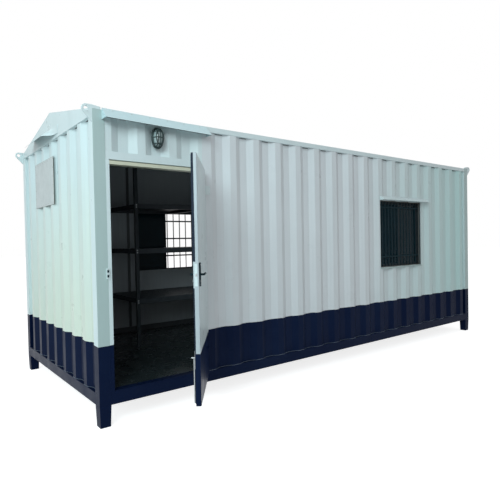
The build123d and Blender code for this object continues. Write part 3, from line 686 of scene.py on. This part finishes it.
# Door leaf, laid out shut: inner board, seals, latch, lock parts and lower bolt
LEAF_X0, LEAF_X1, LEAF_Z0, LEAF_Z1 = 0.071, 0.962, 0.280, 2.192
LEAF_INNER_Y, LEAF_OUTER_Y = -0.055, -0.095
SEAT = 0.001                   # how far a piece laid on a face reaches into it
BOARD_INSET, BOARD_SHEET = 0.022, 0.0015
SEAL_INSET = 0.014
LOCK_Z, LOCK_SETBACK, LOCK_CASE_DEPTH = 1.272, 0.070, 0.010
PLATE_HALF_WIDTH, PLATE_HALF_HEIGHT, PLATE_SHEET = 0.026, 0.085, 0.007
PLATE_FACE_Y = LEAF_INNER_Y + 0.0075   # where screws sit on the inner plate
CYLINDER_DROP = 0.050          # keyhole under the handle
BOLT_SETBACK, BOLT_HALF_WIDTH = 0.020, 0.014
BOLT_PLATE, BOLT_ROD, BOLT_KNOB_Z = (0.560, 0.700), (0.300, 0.640), 0.645
HINGE_RISE = 0.056             # top of a knuckle above the joint between halves
HINGE_MARGIN, HINGE_COUNT = 0.200, 3

# Lining board on the leaf's inner face, like the boards inside; it also darkens that
# face as painted shade
strips("leaf_board_and_shade", [(LEAF_X0 + BOARD_INSET, LEAF_X1 - BOARD_INSET, LEAF_INNER_Y,
                       LEAF_INNER_Y + BOARD_SHEET, LEAF_Z0 + BOARD_INSET,
                       LEAF_Z1 - BOARD_INSET)], "board", "door", 0.0005, swung)
seal_x0, seal_x1 = LEAF_X0 + SEAL_INSET, LEAF_X1 - SEAL_INSET
seal_z0, seal_z1 = LEAF_Z0 + SEAL_INSET, LEAF_Z1 - SEAL_INSET
seal_path = [swung((x, LEAF_INNER_Y + BOARD_SHEET, z))
             for x, z in ((seal_x0, seal_z0), (seal_x1, seal_z0),
                          (seal_x1, seal_z1), (seal_x0, seal_z1))]
rods("leaf_seal", [(seal_path, True)], "rubber", "door", Radius=0.0030, Bend=0.01,
     Sides=8)
# Dark rubber strips down the free edge: width, bottom and top, clear of the lock; a
# seal, sized also to stand in for the shade on the leaf's inner side
EDGE_SEAL_AND_SHADE = ((0.016, LOCK_Z + 0.10, LEAF_Z1 - 0.004),
             (0.007, BAND_TOP, LOCK_Z - 0.10))
strips("leaf_edge_seal_and_shade", [
    (LEAF_X0 - 0.0012, LEAF_X0 + SEAT, LEAF_INNER_Y - width, LEAF_INNER_Y + 0.001,
     z0, z1) for width, z0, z1 in EDGE_SEAL_AND_SHADE], "rubber", "door", 0.0005, swung)
strips("latch_plate", [(LEAF_X0 - 0.0010, LEAF_X0 + SEAT, -0.0855, -0.0645,
                        LOCK_Z - PLATE_HALF_HEIGHT, LOCK_Z + PLATE_HALF_HEIGHT)],
       "enamel", "door", 0.0005, swung)
strips("latch_tongue", [(LEAF_X0 - 0.009, LEAF_X0, -0.081, -0.069, LOCK_Z - 0.010,
                         LOCK_Z + 0.012)], "zinc", "door", 0.002, swung)
lock_x = LEAF_X0 + LOCK_SETBACK
strips("handle_rose", [(lock_x - PLATE_HALF_WIDTH, lock_x + PLATE_HALF_WIDTH,
                        LEAF_INNER_Y + SEAT, LEAF_INNER_Y + PLATE_SHEET,
                        LOCK_Z - PLATE_HALF_HEIGHT, LOCK_Z + PLATE_HALF_HEIGHT)],
       "dark", "door", 0.002, swung)
inward = swung((0, 1, 0)) - swung((0, 0, 0))
lock_faces = ((PLATE_FACE_Y, inward), (LEAF_OUTER_Y - LOCK_CASE_DEPTH, -inward))
keyholes = [(swung((lock_x, y, LOCK_Z - CYLINDER_DROP)), facing)
            for y, facing in lock_faces]
screws("lock_cylinders", keyholes, "zinc", "door", Washer=0.012, Head=0.009,
       Rise=0.004, Sides=16)
plate_screws = [(swung((lock_x + dx, y, LOCK_Z + dz)), facing)
                for dx in (-0.019, 0.019) for dz in (-0.075, 0.075)
                for y, facing in lock_faces]
screws("lock_plate_screws", plate_screws, "zinc", "door", Washer=0.0042, Head=0.003,
       Rise=0.0012, Sides=8)
bolt_x = LEAF_X0 + BOLT_SETBACK
strips("lower_bolt_plate", [(bolt_x - BOLT_HALF_WIDTH, bolt_x + BOLT_HALF_WIDTH,
                             LEAF_INNER_Y + SEAT, LEAF_INNER_Y + 0.004,
                             *BOLT_PLATE)], "zinc", "door", 0.001, swung)
bolt_rod = [swung((bolt_x, LEAF_INNER_Y + 0.010, z)) for z in BOLT_ROD]
bolt_knob = [swung((bolt_x, LEAF_INNER_Y + y, BOLT_KNOB_Z)) for y in (0.004, 0.030)]
rods("lower_bolt", [(bolt_rod, False), (bolt_knob, False)], "zinc", "door",
     Radius=0.005, Sides=10)
hinge_span = LEAF_Z1 - LEAF_Z0 - 2 * HINGE_MARGIN
hinge_zs = [LEAF_Z0 + HINGE_MARGIN + i * hinge_span / (HINGE_COUNT - 1)
            for i in range(HINGE_COUNT)]
screws("hinge_pin_caps", [(HINGE + Vector((0, 0, z + HINGE_RISE)), (0, 0, 1))
                          for z in hinge_zs], "painted_screw",
       Washer=0.0085, Head=0.0065, Rise=0.004, Sides=12)

# Keeper: two slots in the painted block and its screws
SLOT_HALF_WIDTH, SLOT_HALF_HEIGHT, SLOT_OFFSET = 0.008, 0.011, 0.020
KEEPER_SCREW_STEP = 0.038
keeper_low, keeper_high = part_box("lock_keeper")
keeper_x = (keeper_low.x + keeper_high.x) / 2
strips("keeper_slots", [
    (keeper_x - SLOT_HALF_WIDTH, keeper_x + SLOT_HALF_WIDTH, keeper_low.y - 0.0012,
     keeper_low.y + SEAT, z - SLOT_HALF_HEIGHT, z + SLOT_HALF_HEIGHT)
    for z in (LOCK_Z - SLOT_OFFSET, LOCK_Z + SLOT_OFFSET)], "dark", bevel=0.0005)
screws("keeper_screws", [((keeper_x, keeper_low.y, LOCK_Z + dz), (0, -1, 0))
                         for dz in (-KEEPER_SCREW_STEP, 0.0, KEEPER_SCREW_STEP)],
       "zinc", Washer=0.0045, Head=0.003, Rise=0.0015, Sides=8)

# Joint strips over the lining boards, none of them in the doorway
ROOM_X0, ROOM_X1, ROOM_Y0, ROOM_Y1 = 0.030, 5.966, 0.030, 2.308
floor_z, ceiling_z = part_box("floor_deck")[1].z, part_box("ceiling")[0].z
BOARD_WIDTH = 1.22
STRIP_WIDTH, STRIP_DEPTH = 0.038, 0.004
LAST_BOARD = 0.2               # a narrower board than this has no joint
WINDOW_MARGIN = 0.02
DOORWAY_END = 1.0
END_JOINT_Y = 1.15
CEILING_JOINTS, CEILING_INSET = 4, 0.006
window_box = {"front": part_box("front_window_frame"),
              "back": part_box("back_window_frame")}
joint_boxes = []
for side, face_y, into in (("front", ROOM_Y0, 1), ("back", ROOM_Y1, -1)):
    low, high = window_box[side]
    x = ROOM_X0 + BOARD_WIDTH
    while x < ROOM_X1 - LAST_BOARD:
        spans = [(floor_z, ceiling_z)]
        if low.x - WINDOW_MARGIN < x < high.x + WINDOW_MARGIN:
            spans = [(floor_z, low.z), (high.z, ceiling_z)]
        y0, y1 = sorted((face_y, face_y + into * STRIP_DEPTH))
        joint_boxes += [(x - STRIP_WIDTH / 2, x + STRIP_WIDTH / 2, y0, y1, z0, z1)
                        for z0, z1 in spans]
        x += BOARD_WIDTH
joint_boxes = [b for b in joint_boxes
               if not (b[2] < DOORWAY_END and b[0] < DOORWAY_END)]
for x, into in ((ROOM_X0, 1), (ROOM_X1, -1)):
    x0, x1 = sorted((x, x + into * STRIP_DEPTH))
    joint_boxes.append((x0, x1, END_JOINT_Y, END_JOINT_Y + STRIP_WIDTH, floor_z,
                        ceiling_z))
for i in range(CEILING_JOINTS):
    x = ROOM_X0 + BOARD_WIDTH * (i + 1)
    joint_boxes.append((x - STRIP_WIDTH / 2, x + STRIP_WIDTH / 2,
                        ROOM_Y0 + CEILING_INSET, ROOM_Y1 - CEILING_INSET,
                        ceiling_z - STRIP_DEPTH, ceiling_z))
strips("lining_joint_strips", joint_boxes, "strip")
SKIRTING, SKIRTING_DEPTH = 0.07, 0.009
skirting_top = floor_z + SKIRTING
front_start, end_start = ROOM_X0 + 1.00, 0.052
strips("skirting", [
    (front_start, ROOM_X1, ROOM_Y0, ROOM_Y0 + SKIRTING_DEPTH, floor_z, skirting_top),
    (ROOM_X0, ROOM_X1, ROOM_Y1 - SKIRTING_DEPTH, ROOM_Y1, floor_z, skirting_top),
    (ROOM_X0, ROOM_X0 + SKIRTING_DEPTH, end_start, ROOM_Y1 - SKIRTING_DEPTH, floor_z,
     skirting_top),
    (ROOM_X1 - SKIRTING_DEPTH, ROOM_X1, end_start, ROOM_Y1 - SKIRTING_DEPTH, floor_z,
     skirting_top)], "strip")

# Roof screws on the ribs
ROOF_RISE, ROOF_RUN = 0.229, 1.181
ROOF_RIB_PITCH, ROOF_RIB_FIRST, ROOF_RIB_COUNT = 0.250, 0.298, 23
ROOF_RIB_LIFT = 0.010          # screws over the roof's plane
EAVE_Y, EAVE_Z, RIDGE_Y = PLAN_CORNER + 0.038, 2.618, 1.169
ROOF_ROWS = (0.06, 0.60, 1.06)         # up the slope from the eave
slope_angle = math.atan2(ROOF_RISE, ROOF_RUN)
up_front = Vector((0, -math.sin(slope_angle), math.cos(slope_angle)))
up_back = Vector((0, math.sin(slope_angle), math.cos(slope_angle)))
uphill = Vector((0, math.cos(slope_angle), math.sin(slope_angle)))
roof_spots = []
for i in range(ROOF_RIB_COUNT):
    x = PLAN_CORNER + ROOF_RIB_FIRST + ROOF_RIB_PITCH * i
    for run in ROOF_ROWS:
        p = Vector((x, EAVE_Y, EAVE_Z)) + uphill * run + up_front * ROOF_RIB_LIFT
        roof_spots.append((p, up_front))
        roof_spots.append((Vector((x, 2 * RIDGE_Y - p.y, p.z)), up_back))
screws("roof_screws", roof_spots, "zinc", Washer=0.010, Head=0.006, Rise=0.005,
       Sides=6)

# Rivets round the air-conditioner cover
RIVET_INSET, RIVET_COLUMNS, RIVET_ROWS = 0.018, 8, 4
cover_low, cover_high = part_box("air_conditioner_cover")
across = cover_high.y - cover_low.y - 2 * RIVET_INSET
upward = cover_high.z - cover_low.z - 2 * RIVET_INSET
rivets = []
for i in range(RIVET_COLUMNS):
    y = cover_low.y + RIVET_INSET + across * i / (RIVET_COLUMNS - 1)
    rivets += [((cover_low.x, y, z), (-1, 0, 0))
               for z in (cover_low.z + RIVET_INSET, cover_high.z - RIVET_INSET)]
for i in range(1, RIVET_ROWS + 1):
    z = cover_low.z + RIVET_INSET + upward * i / (RIVET_ROWS + 1)
    rivets += [((cover_low.x, y, z), (-1, 0, 0))
               for y in (cover_low.y + RIVET_INSET, cover_high.y - RIVET_INSET)]
screws("cover_rivets", rivets, "zinc", Washer=0.006, Head=0.004, Rise=0.002, Sides=10)


# Corrugated sheet, outer line: crests on the wall's face, recesses behind it
RIB_DEPTH, RIB_CREST, RIB_FLANK, RIB_PITCH = 0.034, 0.075, 0.070, 0.2985
DOOR_SIDE = 0.990              # where the front wall starts
END_FIRST, FRONT_FIRST, BACK_FIRST = -0.008, 0.103, 0.110      # to the first flank


def rib_line(start, end, first):
    """Outer line of the sheet: (along, depth) pairs from start to end."""
    wave = [(first - RIB_PITCH, 0.0)]
    recess = RIB_PITCH - RIB_CREST - 2 * RIB_FLANK
    at = first
    while at < end:
        wave += [(at, 0.0), (at + RIB_FLANK, RIB_DEPTH),
                 (at + RIB_FLANK + recess, RIB_DEPTH),
                 (at + 2 * RIB_FLANK + recess, 0.0)]
        at += RIB_PITCH
    wave.append((end + RIB_PITCH, 0.0))

    def depth(u):
        for (u0, d0), (u1, d1) in zip(wave, wave[1:]):
            if u0 <= u <= u1:
                return d0 + (d1 - d0) * (u - u0) / (u1 - u0)
        return 0.0

    inner = [(u, d) for u, d in wave if start < u < end]
    return [(start, depth(start))] + inner + [(end, depth(end))]


# The four wall sheets, as points (along, depth) placed in plan
FAR_X, FAR_Y = LENGTH + 2 * PLAN_CORNER, WIDTH + 2 * PLAN_CORNER
END_LINE = rib_line(CORNER, WIDTH - FAR_CORNER, CORNER + END_FIRST)
FRONT_LINE = rib_line(DOOR_SIDE, LENGTH - FAR_CORNER, DOOR_SIDE + FRONT_FIRST)
BACK_LINE = rib_line(CORNER, LENGTH - FAR_CORNER, CORNER + BACK_FIRST)
SHEETS = (([(WALL_FACE_Y + d, u) for u, d in END_LINE], END_LINE),
          ([(FAR_X - WALL_FACE_Y - d, u) for u, d in END_LINE], END_LINE),
          ([(u, WALL_FACE_Y + d) for u, d in FRONT_LINE], FRONT_LINE),
          ([(u, FAR_Y - WALL_FACE_Y - d) for u, d in BACK_LINE], BACK_LINE))

# Weld along the foot of each wall sheet, on the base rail
SEAM_RISE = 0.0025
sheet_low, sheet_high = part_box("left_end_wall")
seams = [([(x, y, sheet_low.z + SEAM_RISE) for x, y in plan], False)
         for plan, _ in SHEETS]
rods("wall_foot_welds", seams, "weld", Radius=0.0028, Sides=6)

# Painted shadow: a dark line at the head of each recess, under the top rail
HEAD_DROP = 0.003
RECESSED = 0.001               # a point deeper than this is off the crest
head_z = sheet_high.z - HEAD_DROP
head_shadows = []
for plan, line in SHEETS:
    run = []
    for (x, y), (_, depth_here) in zip(plan, line):
        if depth_here > RECESSED:
            run.append((x, y, head_z))
        elif run:
            head_shadows.append((run, False))
            run = []
    if run:
        head_shadows.append((run, False))
head_shadows = [(run, closed) for run, closed in head_shadows if len(run) > 1]
rods("wall_head_shadows", head_shadows, "shadow_line", Radius=0.0030, Sides=6)

# Welds beside the lifting lugs: down the post, and along its top
LUG_FOOT, LUG_THICK, LUG_TOP_WELD = 0.105, 0.016, 0.068
post_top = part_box("corner_posts")[1].z
lug_welds = []
for x, side in ((PLAN_CORNER, 1), (LENGTH + PLAN_CORNER, -1)):
    for y in (PLAN_CORNER + LUG_THICK, WIDTH + PLAN_CORNER - LUG_THICK):
        lug_welds.append(([(x - side * 0.001, y, post_top - LUG_FOOT),
                           (x - side * 0.001, y, post_top - 0.002)], False))
        lug_welds.append(([(x + side * 0.002, y, post_top + 0.001),
                           (x + side * LUG_TOP_WELD, y, post_top + 0.001)], False))
rods("lug_welds", lug_welds, "painted_screw", Radius=0.0035, Sides=8)

# Canopy: turned lip, a painted shadow line under it, and screws along the top
CANOPY_FALL = math.radians(1.2)
CANOPY_RISE, CANOPY_REACH = 0.094, 0.100
CANOPY_SCREWS, CANOPY_SCREW_DOWN = 6, 0.018
LIP_INSET, LIP_END, EDGE_END, EDGE_DROP = 0.003, 0.004, 0.006, 0.004
canopy_low, canopy_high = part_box("door_canopy")
canopy_length = canopy_high.x - canopy_low.x
drop = canopy_length * math.sin(CANOPY_FALL)
lip_y, right_z = canopy_low.y + LIP_INSET, canopy_low.z + LIP_INSET
left_z = right_z + drop
rods("canopy_lip", [([(canopy_low.x + LIP_END, lip_y, left_z),
                      (canopy_high.x - LIP_END, lip_y, right_z)], False)],
     "enamel", Radius=0.0030, Sides=8)
rods("canopy_edge_shadow", [([(canopy_low.x + EDGE_END, lip_y, left_z - EDGE_DROP),
                       (canopy_high.x - EDGE_END, lip_y, right_z - EDGE_DROP)],
                      False)], "shadow_line", Radius=0.0026, Sides=6)
canopy_slope = math.atan2(CANOPY_RISE, CANOPY_REACH)
canopy_up = Vector((0, -math.sin(canopy_slope), math.cos(canopy_slope)))
screw_y = PLAN_CORNER - CANOPY_SCREW_DOWN
spots = []
for i in range(CANOPY_SCREWS):
    t = (i + 0.5) / CANOPY_SCREWS
    screw_z = canopy_high.z - drop * t - CANOPY_SCREW_DOWN * CANOPY_RISE / CANOPY_REACH
    spots.append(((canopy_low.x + canopy_length * t, screw_y, screw_z), canopy_up))
screws("canopy_screws", spots, "painted_screw", Washer=0.008, Head=0.0055, Rise=0.004,
       Sides=6)

# Windows: sealant round each frame, and the front one's sill flashing
BEAD_INSET, BEAD_OUT = 0.004, 0.0006
for side, out in (("front", -BEAD_OUT), ("back", BEAD_OUT)):
    low, high = window_box[side]
    y = (low.y if side == "front" else high.y) + out
    x0, x1 = low.x + BEAD_INSET, high.x - BEAD_INSET
    z0, z1 = low.z + BEAD_INSET, high.z - BEAD_INSET
    bead = [(x0, y, z0), (x1, y, z0), (x1, y, z1), (x0, y, z1)]
    rods(side + "_window_sealant", [(bead, True)], "sealant", Radius=0.0025,
         Bend=0.004, Sides=6)
low, high = window_box["front"]
FLASHING_PAST, FLASHING_OUT, FLASHING_BACK = 0.012, 0.010, 0.036
flashing_x0, flashing_x1 = low.x - FLASHING_PAST, high.x + FLASHING_PAST
flashing_y = WALL_FACE_Y - FLASHING_OUT
# The flashing wears the posts' paint, so its front face takes the same painted shade
strips("window_sill_flashing", [
    (flashing_x0, flashing_x1, flashing_y, WALL_FACE_Y + FLASHING_BACK,
     low.z - 0.006, low.z - 0.003),
    (flashing_x0, flashing_x1, flashing_y, flashing_y + 0.002,
     low.z - 0.018, low.z - 0.004)], "post", bevel=0.0005)

# Rivets along the window shade's slope
SHADE_RIVETS, SHADE_FACING = 6, (0, -0.58, 0.81)
SHADE_RIVET_OUT, SHADE_RIVET_DROP = 0.012, 0.0075
shade_low, shade_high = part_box("front_window_shade")
shade_length = shade_high.x - shade_low.x
screws("shade_rivets", [((shade_low.x + shade_length * (i + 0.5) / SHADE_RIVETS,
                          WALL_FACE_Y - SHADE_RIVET_OUT,
                          shade_high.z - SHADE_RIVET_DROP), SHADE_FACING)
                        for i in range(SHADE_RIVETS)], "painted_screw",
       Washer=0.006, Head=0.0045, Rise=0.002, Sides=10)

# Screws at the corners of the small plate by the door
PLATE_INSET = 0.010
plate_low, plate_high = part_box("wall_plate")
screws("wall_plate_screws", [
    ((x, plate_low.y, z), (0, -1, 0))
    for x in (plate_low.x + PLATE_INSET, plate_high.x - PLATE_INSET)
    for z in (plate_low.z + PLATE_INSET, plate_high.z - PLATE_INSET)],
       "painted_screw", Washer=0.005, Head=0.0035, Rise=0.0015, Sides=10)

# Sealant round the air-conditioner cover, dark, so that it also stands in for the
# shadow along the cover's edges
COVER_BEAD_INSET = 0.0015
cover_bead = [(cover_low.x + COVER_BEAD_INSET, y, z) for y, z in (
    (cover_low.y, cover_low.z), (cover_high.y, cover_low.z),
    (cover_high.y, cover_high.z), (cover_low.y, cover_high.z))]
rods("cover_sealant_and_shadow", [(cover_bead, True)], "sealant", Radius=0.0022, Sides=6)

# Storage rack: bolts at the beam ends, and caps on the posts
RACK_POST, CAP = 0.040, 0.004
SHELF_TOPS = (0.560, 1.160, 1.700)     # above the floor
BOLT_DROPS = (0.018, 0.045)            # under a shelf's top
rack_low, rack_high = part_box("rack_posts")
bolt_spots = [((x, rack_low.y, floor_z + level - below), (0, -1, 0))
              for x in (rack_low.x + RACK_POST / 2, rack_high.x - RACK_POST / 2)
              for level in SHELF_TOPS for below in BOLT_DROPS]
screws("rack_bolts", bolt_spots, "zinc", Washer=0.009, Head=0.0065, Rise=0.004,
       Sides=6)
strips("rack_caps", [(x, x + RACK_POST, y, y + RACK_POST, rack_high.z,
                      rack_high.z + CAP)
                     for x in (rack_low.x, rack_high.x - RACK_POST)
                     for y in (rack_low.y, rack_high.y - RACK_POST)], "rubber")

# Ridge cap screws, on every second rib
RIDGE_SCREW_OUT = 0.090
ridge_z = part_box("ridge_cap")[1].z - RIDGE_SCREW_OUT * math.tan(slope_angle)
ridge_spots = []
for i in range(0, ROOF_RIB_COUNT, 2):
    x = PLAN_CORNER + ROOF_RIB_FIRST + ROOF_RIB_PITCH * i
    for side, up in ((-1, up_front), (1, up_back)):
        ridge_spots.append(((x, RIDGE_Y + side * RIDGE_SCREW_OUT, ridge_z), up))
screws("ridge_screws", ridge_spots, "zinc", Washer=0.010, Head=0.006, Rise=0.005,
       Sides=6)


# Lights
def area(name, place, aim, size, power, colour):
    """Rectangular lamp at a place, aimed at a point."""
    light = bpy.data.lights.new(name, "AREA")
    light.shape = "RECTANGLE"
    light.size, light.size_y = size
    light.energy = power
    light.color = colour
    ob = bpy.data.objects.new(name, light)
    bpy.context.collection.objects.link(ob)
    ob.location = place
    way = Vector(aim) - Vector(place)
    ob.rotation_euler = way.to_track_quat("-Z", "Y").to_euler()


KEY_COLOUR, KEY_POWER = (0.84, 1.0, 1.03), 450.0
END_COLOUR, END_POWER = (0.70, 1.0, 1.05), 180.0
SKY_COLOUR, SKY_POWER = (0.84, 1.0, 1.0), 130.0
FRONT_COLOUR, FRONT_POWER = (1.0, 0.98, 1.0), 45.0
ROOM_COLOUR, ROOM_POWER = (0.90, 1.0, 1.05), 5.0
WORLD_COLOUR, WORLD_STRENGTH = (1.03, 0.975, 1.0), 0.43
BACKDROP_STRENGTH = 1.0
area("key_light", (-4.9, -5.6, 5.2), (2.5, 0.0, 1.3), (4.0, 4.0), KEY_POWER,
     KEY_COLOUR)
area("end_light", (-7.5, -1.2, 4.2), (0.0, 1.2, 1.3), (4.0, 4.0), END_POWER,
     END_COLOUR)
area("sky_light", (3.0, 1.0, 10.0), (3.0, 1.2, 1.3), (12.0, 9.0), SKY_POWER,
     SKY_COLOUR)
area("front_light", (3.0, -11.0, 4.5), (3.0, 1.2, 1.3), (10.0, 5.0), FRONT_POWER,
     FRONT_COLOUR)
area("room_light", (2.6, 0.06, 1.5), (2.6, 2.3, 1.4), (2.0, 1.6), ROOM_POWER,
     ROOM_COLOUR)

# World: a plain light, and white where it is seen
world = bpy.data.worlds.new("studio")
bpy.context.scene.world = world
world.use_nodes = True
wt = world.node_tree
background = wt.nodes["Background"]
background.inputs["Color"].default_value = (*WORLD_COLOUR, 1.0)
background.inputs["Strength"].default_value = WORLD_STRENGTH


def seen_rays(tree):
    """1 for camera, glossy and transmission rays, else 0."""
    rays = tree.nodes.new("ShaderNodeLightPath")
    total = rays.outputs["Is Camera Ray"]
    for kind in ("Is Glossy Ray", "Is Transmission Ray"):
        either = tree.nodes.new("ShaderNodeMath")
        either.operation = "MAXIMUM"
        tree.links.new(total, either.inputs[0])
        tree.links.new(rays.outputs[kind], either.inputs[1])
        total = either.outputs[0]
    return total


white = wt.nodes.new("ShaderNodeBackground")
white.inputs["Color"].default_value = (1.0, 1.0, 1.0, 1.0)
white.inputs["Strength"].default_value = BACKDROP_STRENGTH
blend = wt.nodes.new("ShaderNodeMixShader")
wt.links.new(seen_rays(wt), blend.inputs[0])
wt.links.new(background.outputs[0], blend.inputs[1])
wt.links.new(white.outputs[0], blend.inputs[2])
wt.links.new(blend.outputs[0], wt.nodes["World Output"].inputs["Surface"])

# Pale floor, brought up to white where it is seen
FLOOR_REACH = 60.0
FLOOR_COLOUR, FLOOR_GLOW = (0.62, 0.62, 0.62), 0.80
ground_mesh = bpy.data.meshes.new("ground")
floor_corners = [(x * FLOOR_REACH, y * FLOOR_REACH, 0)
                 for x, y in ((-1, -1), (1, -1), (1, 1), (-1, 1))]
ground_mesh.from_pydata(floor_corners, [], [(0, 1, 2, 3)])
ground = bpy.data.objects.new("ground", ground_mesh)
bpy.context.collection.objects.link(ground)
pale = Shade("pale_floor")
pale.put(Base_Color=FLOOR_COLOUR, Roughness=0.9, Specular_IOR_Level=0.0)
glow = pale.node("ShaderNodeEmission")
pale.link(pale.math("MULTIPLY", seen_rays(pale.tree), FLOOR_GLOW),
          glow.inputs["Strength"])
both = pale.node("ShaderNodeAddShader")
pale.link(pale.bsdf.outputs[0], both.inputs[0])
pale.link(glow.outputs[0], both.inputs[1])
pale.link(both.outputs[0], pale.out.inputs["Surface"])
ground_mesh.materials.append(pale.mat)

# Camera, solved from the photograph's straight edges
PHOTO_PIXELS, SENSOR, FOCAL_PIXELS = 500.0, 36.0, 461.09
CAMERA_AT = Vector((-1.3723, -3.7697, 1.5190))
RIGHT = Vector((0.7868483, -0.61683356, -0.01964968))
DOWN = Vector((-0.02745191, -0.00317478, -0.99961808))
AHEAD = Vector((0.6165356, 0.78708721, -0.01943133))
camera_data = bpy.data.cameras.new("camera")
camera_data.sensor_width = SENSOR
camera_data.lens = FOCAL_PIXELS / PHOTO_PIXELS * SENSOR
camera_data.clip_end = 200.0
camera = bpy.data.objects.new("camera", camera_data)
bpy.context.collection.objects.link(camera)
turn = Matrix((RIGHT, -DOWN, -AHEAD)).transposed()
camera.matrix_world = Matrix.Translation(CAMERA_AT) @ turn.to_4x4()
bpy.context.scene.camera = camera
bpy.context.scene.view_settings.view_transform = "Standard"
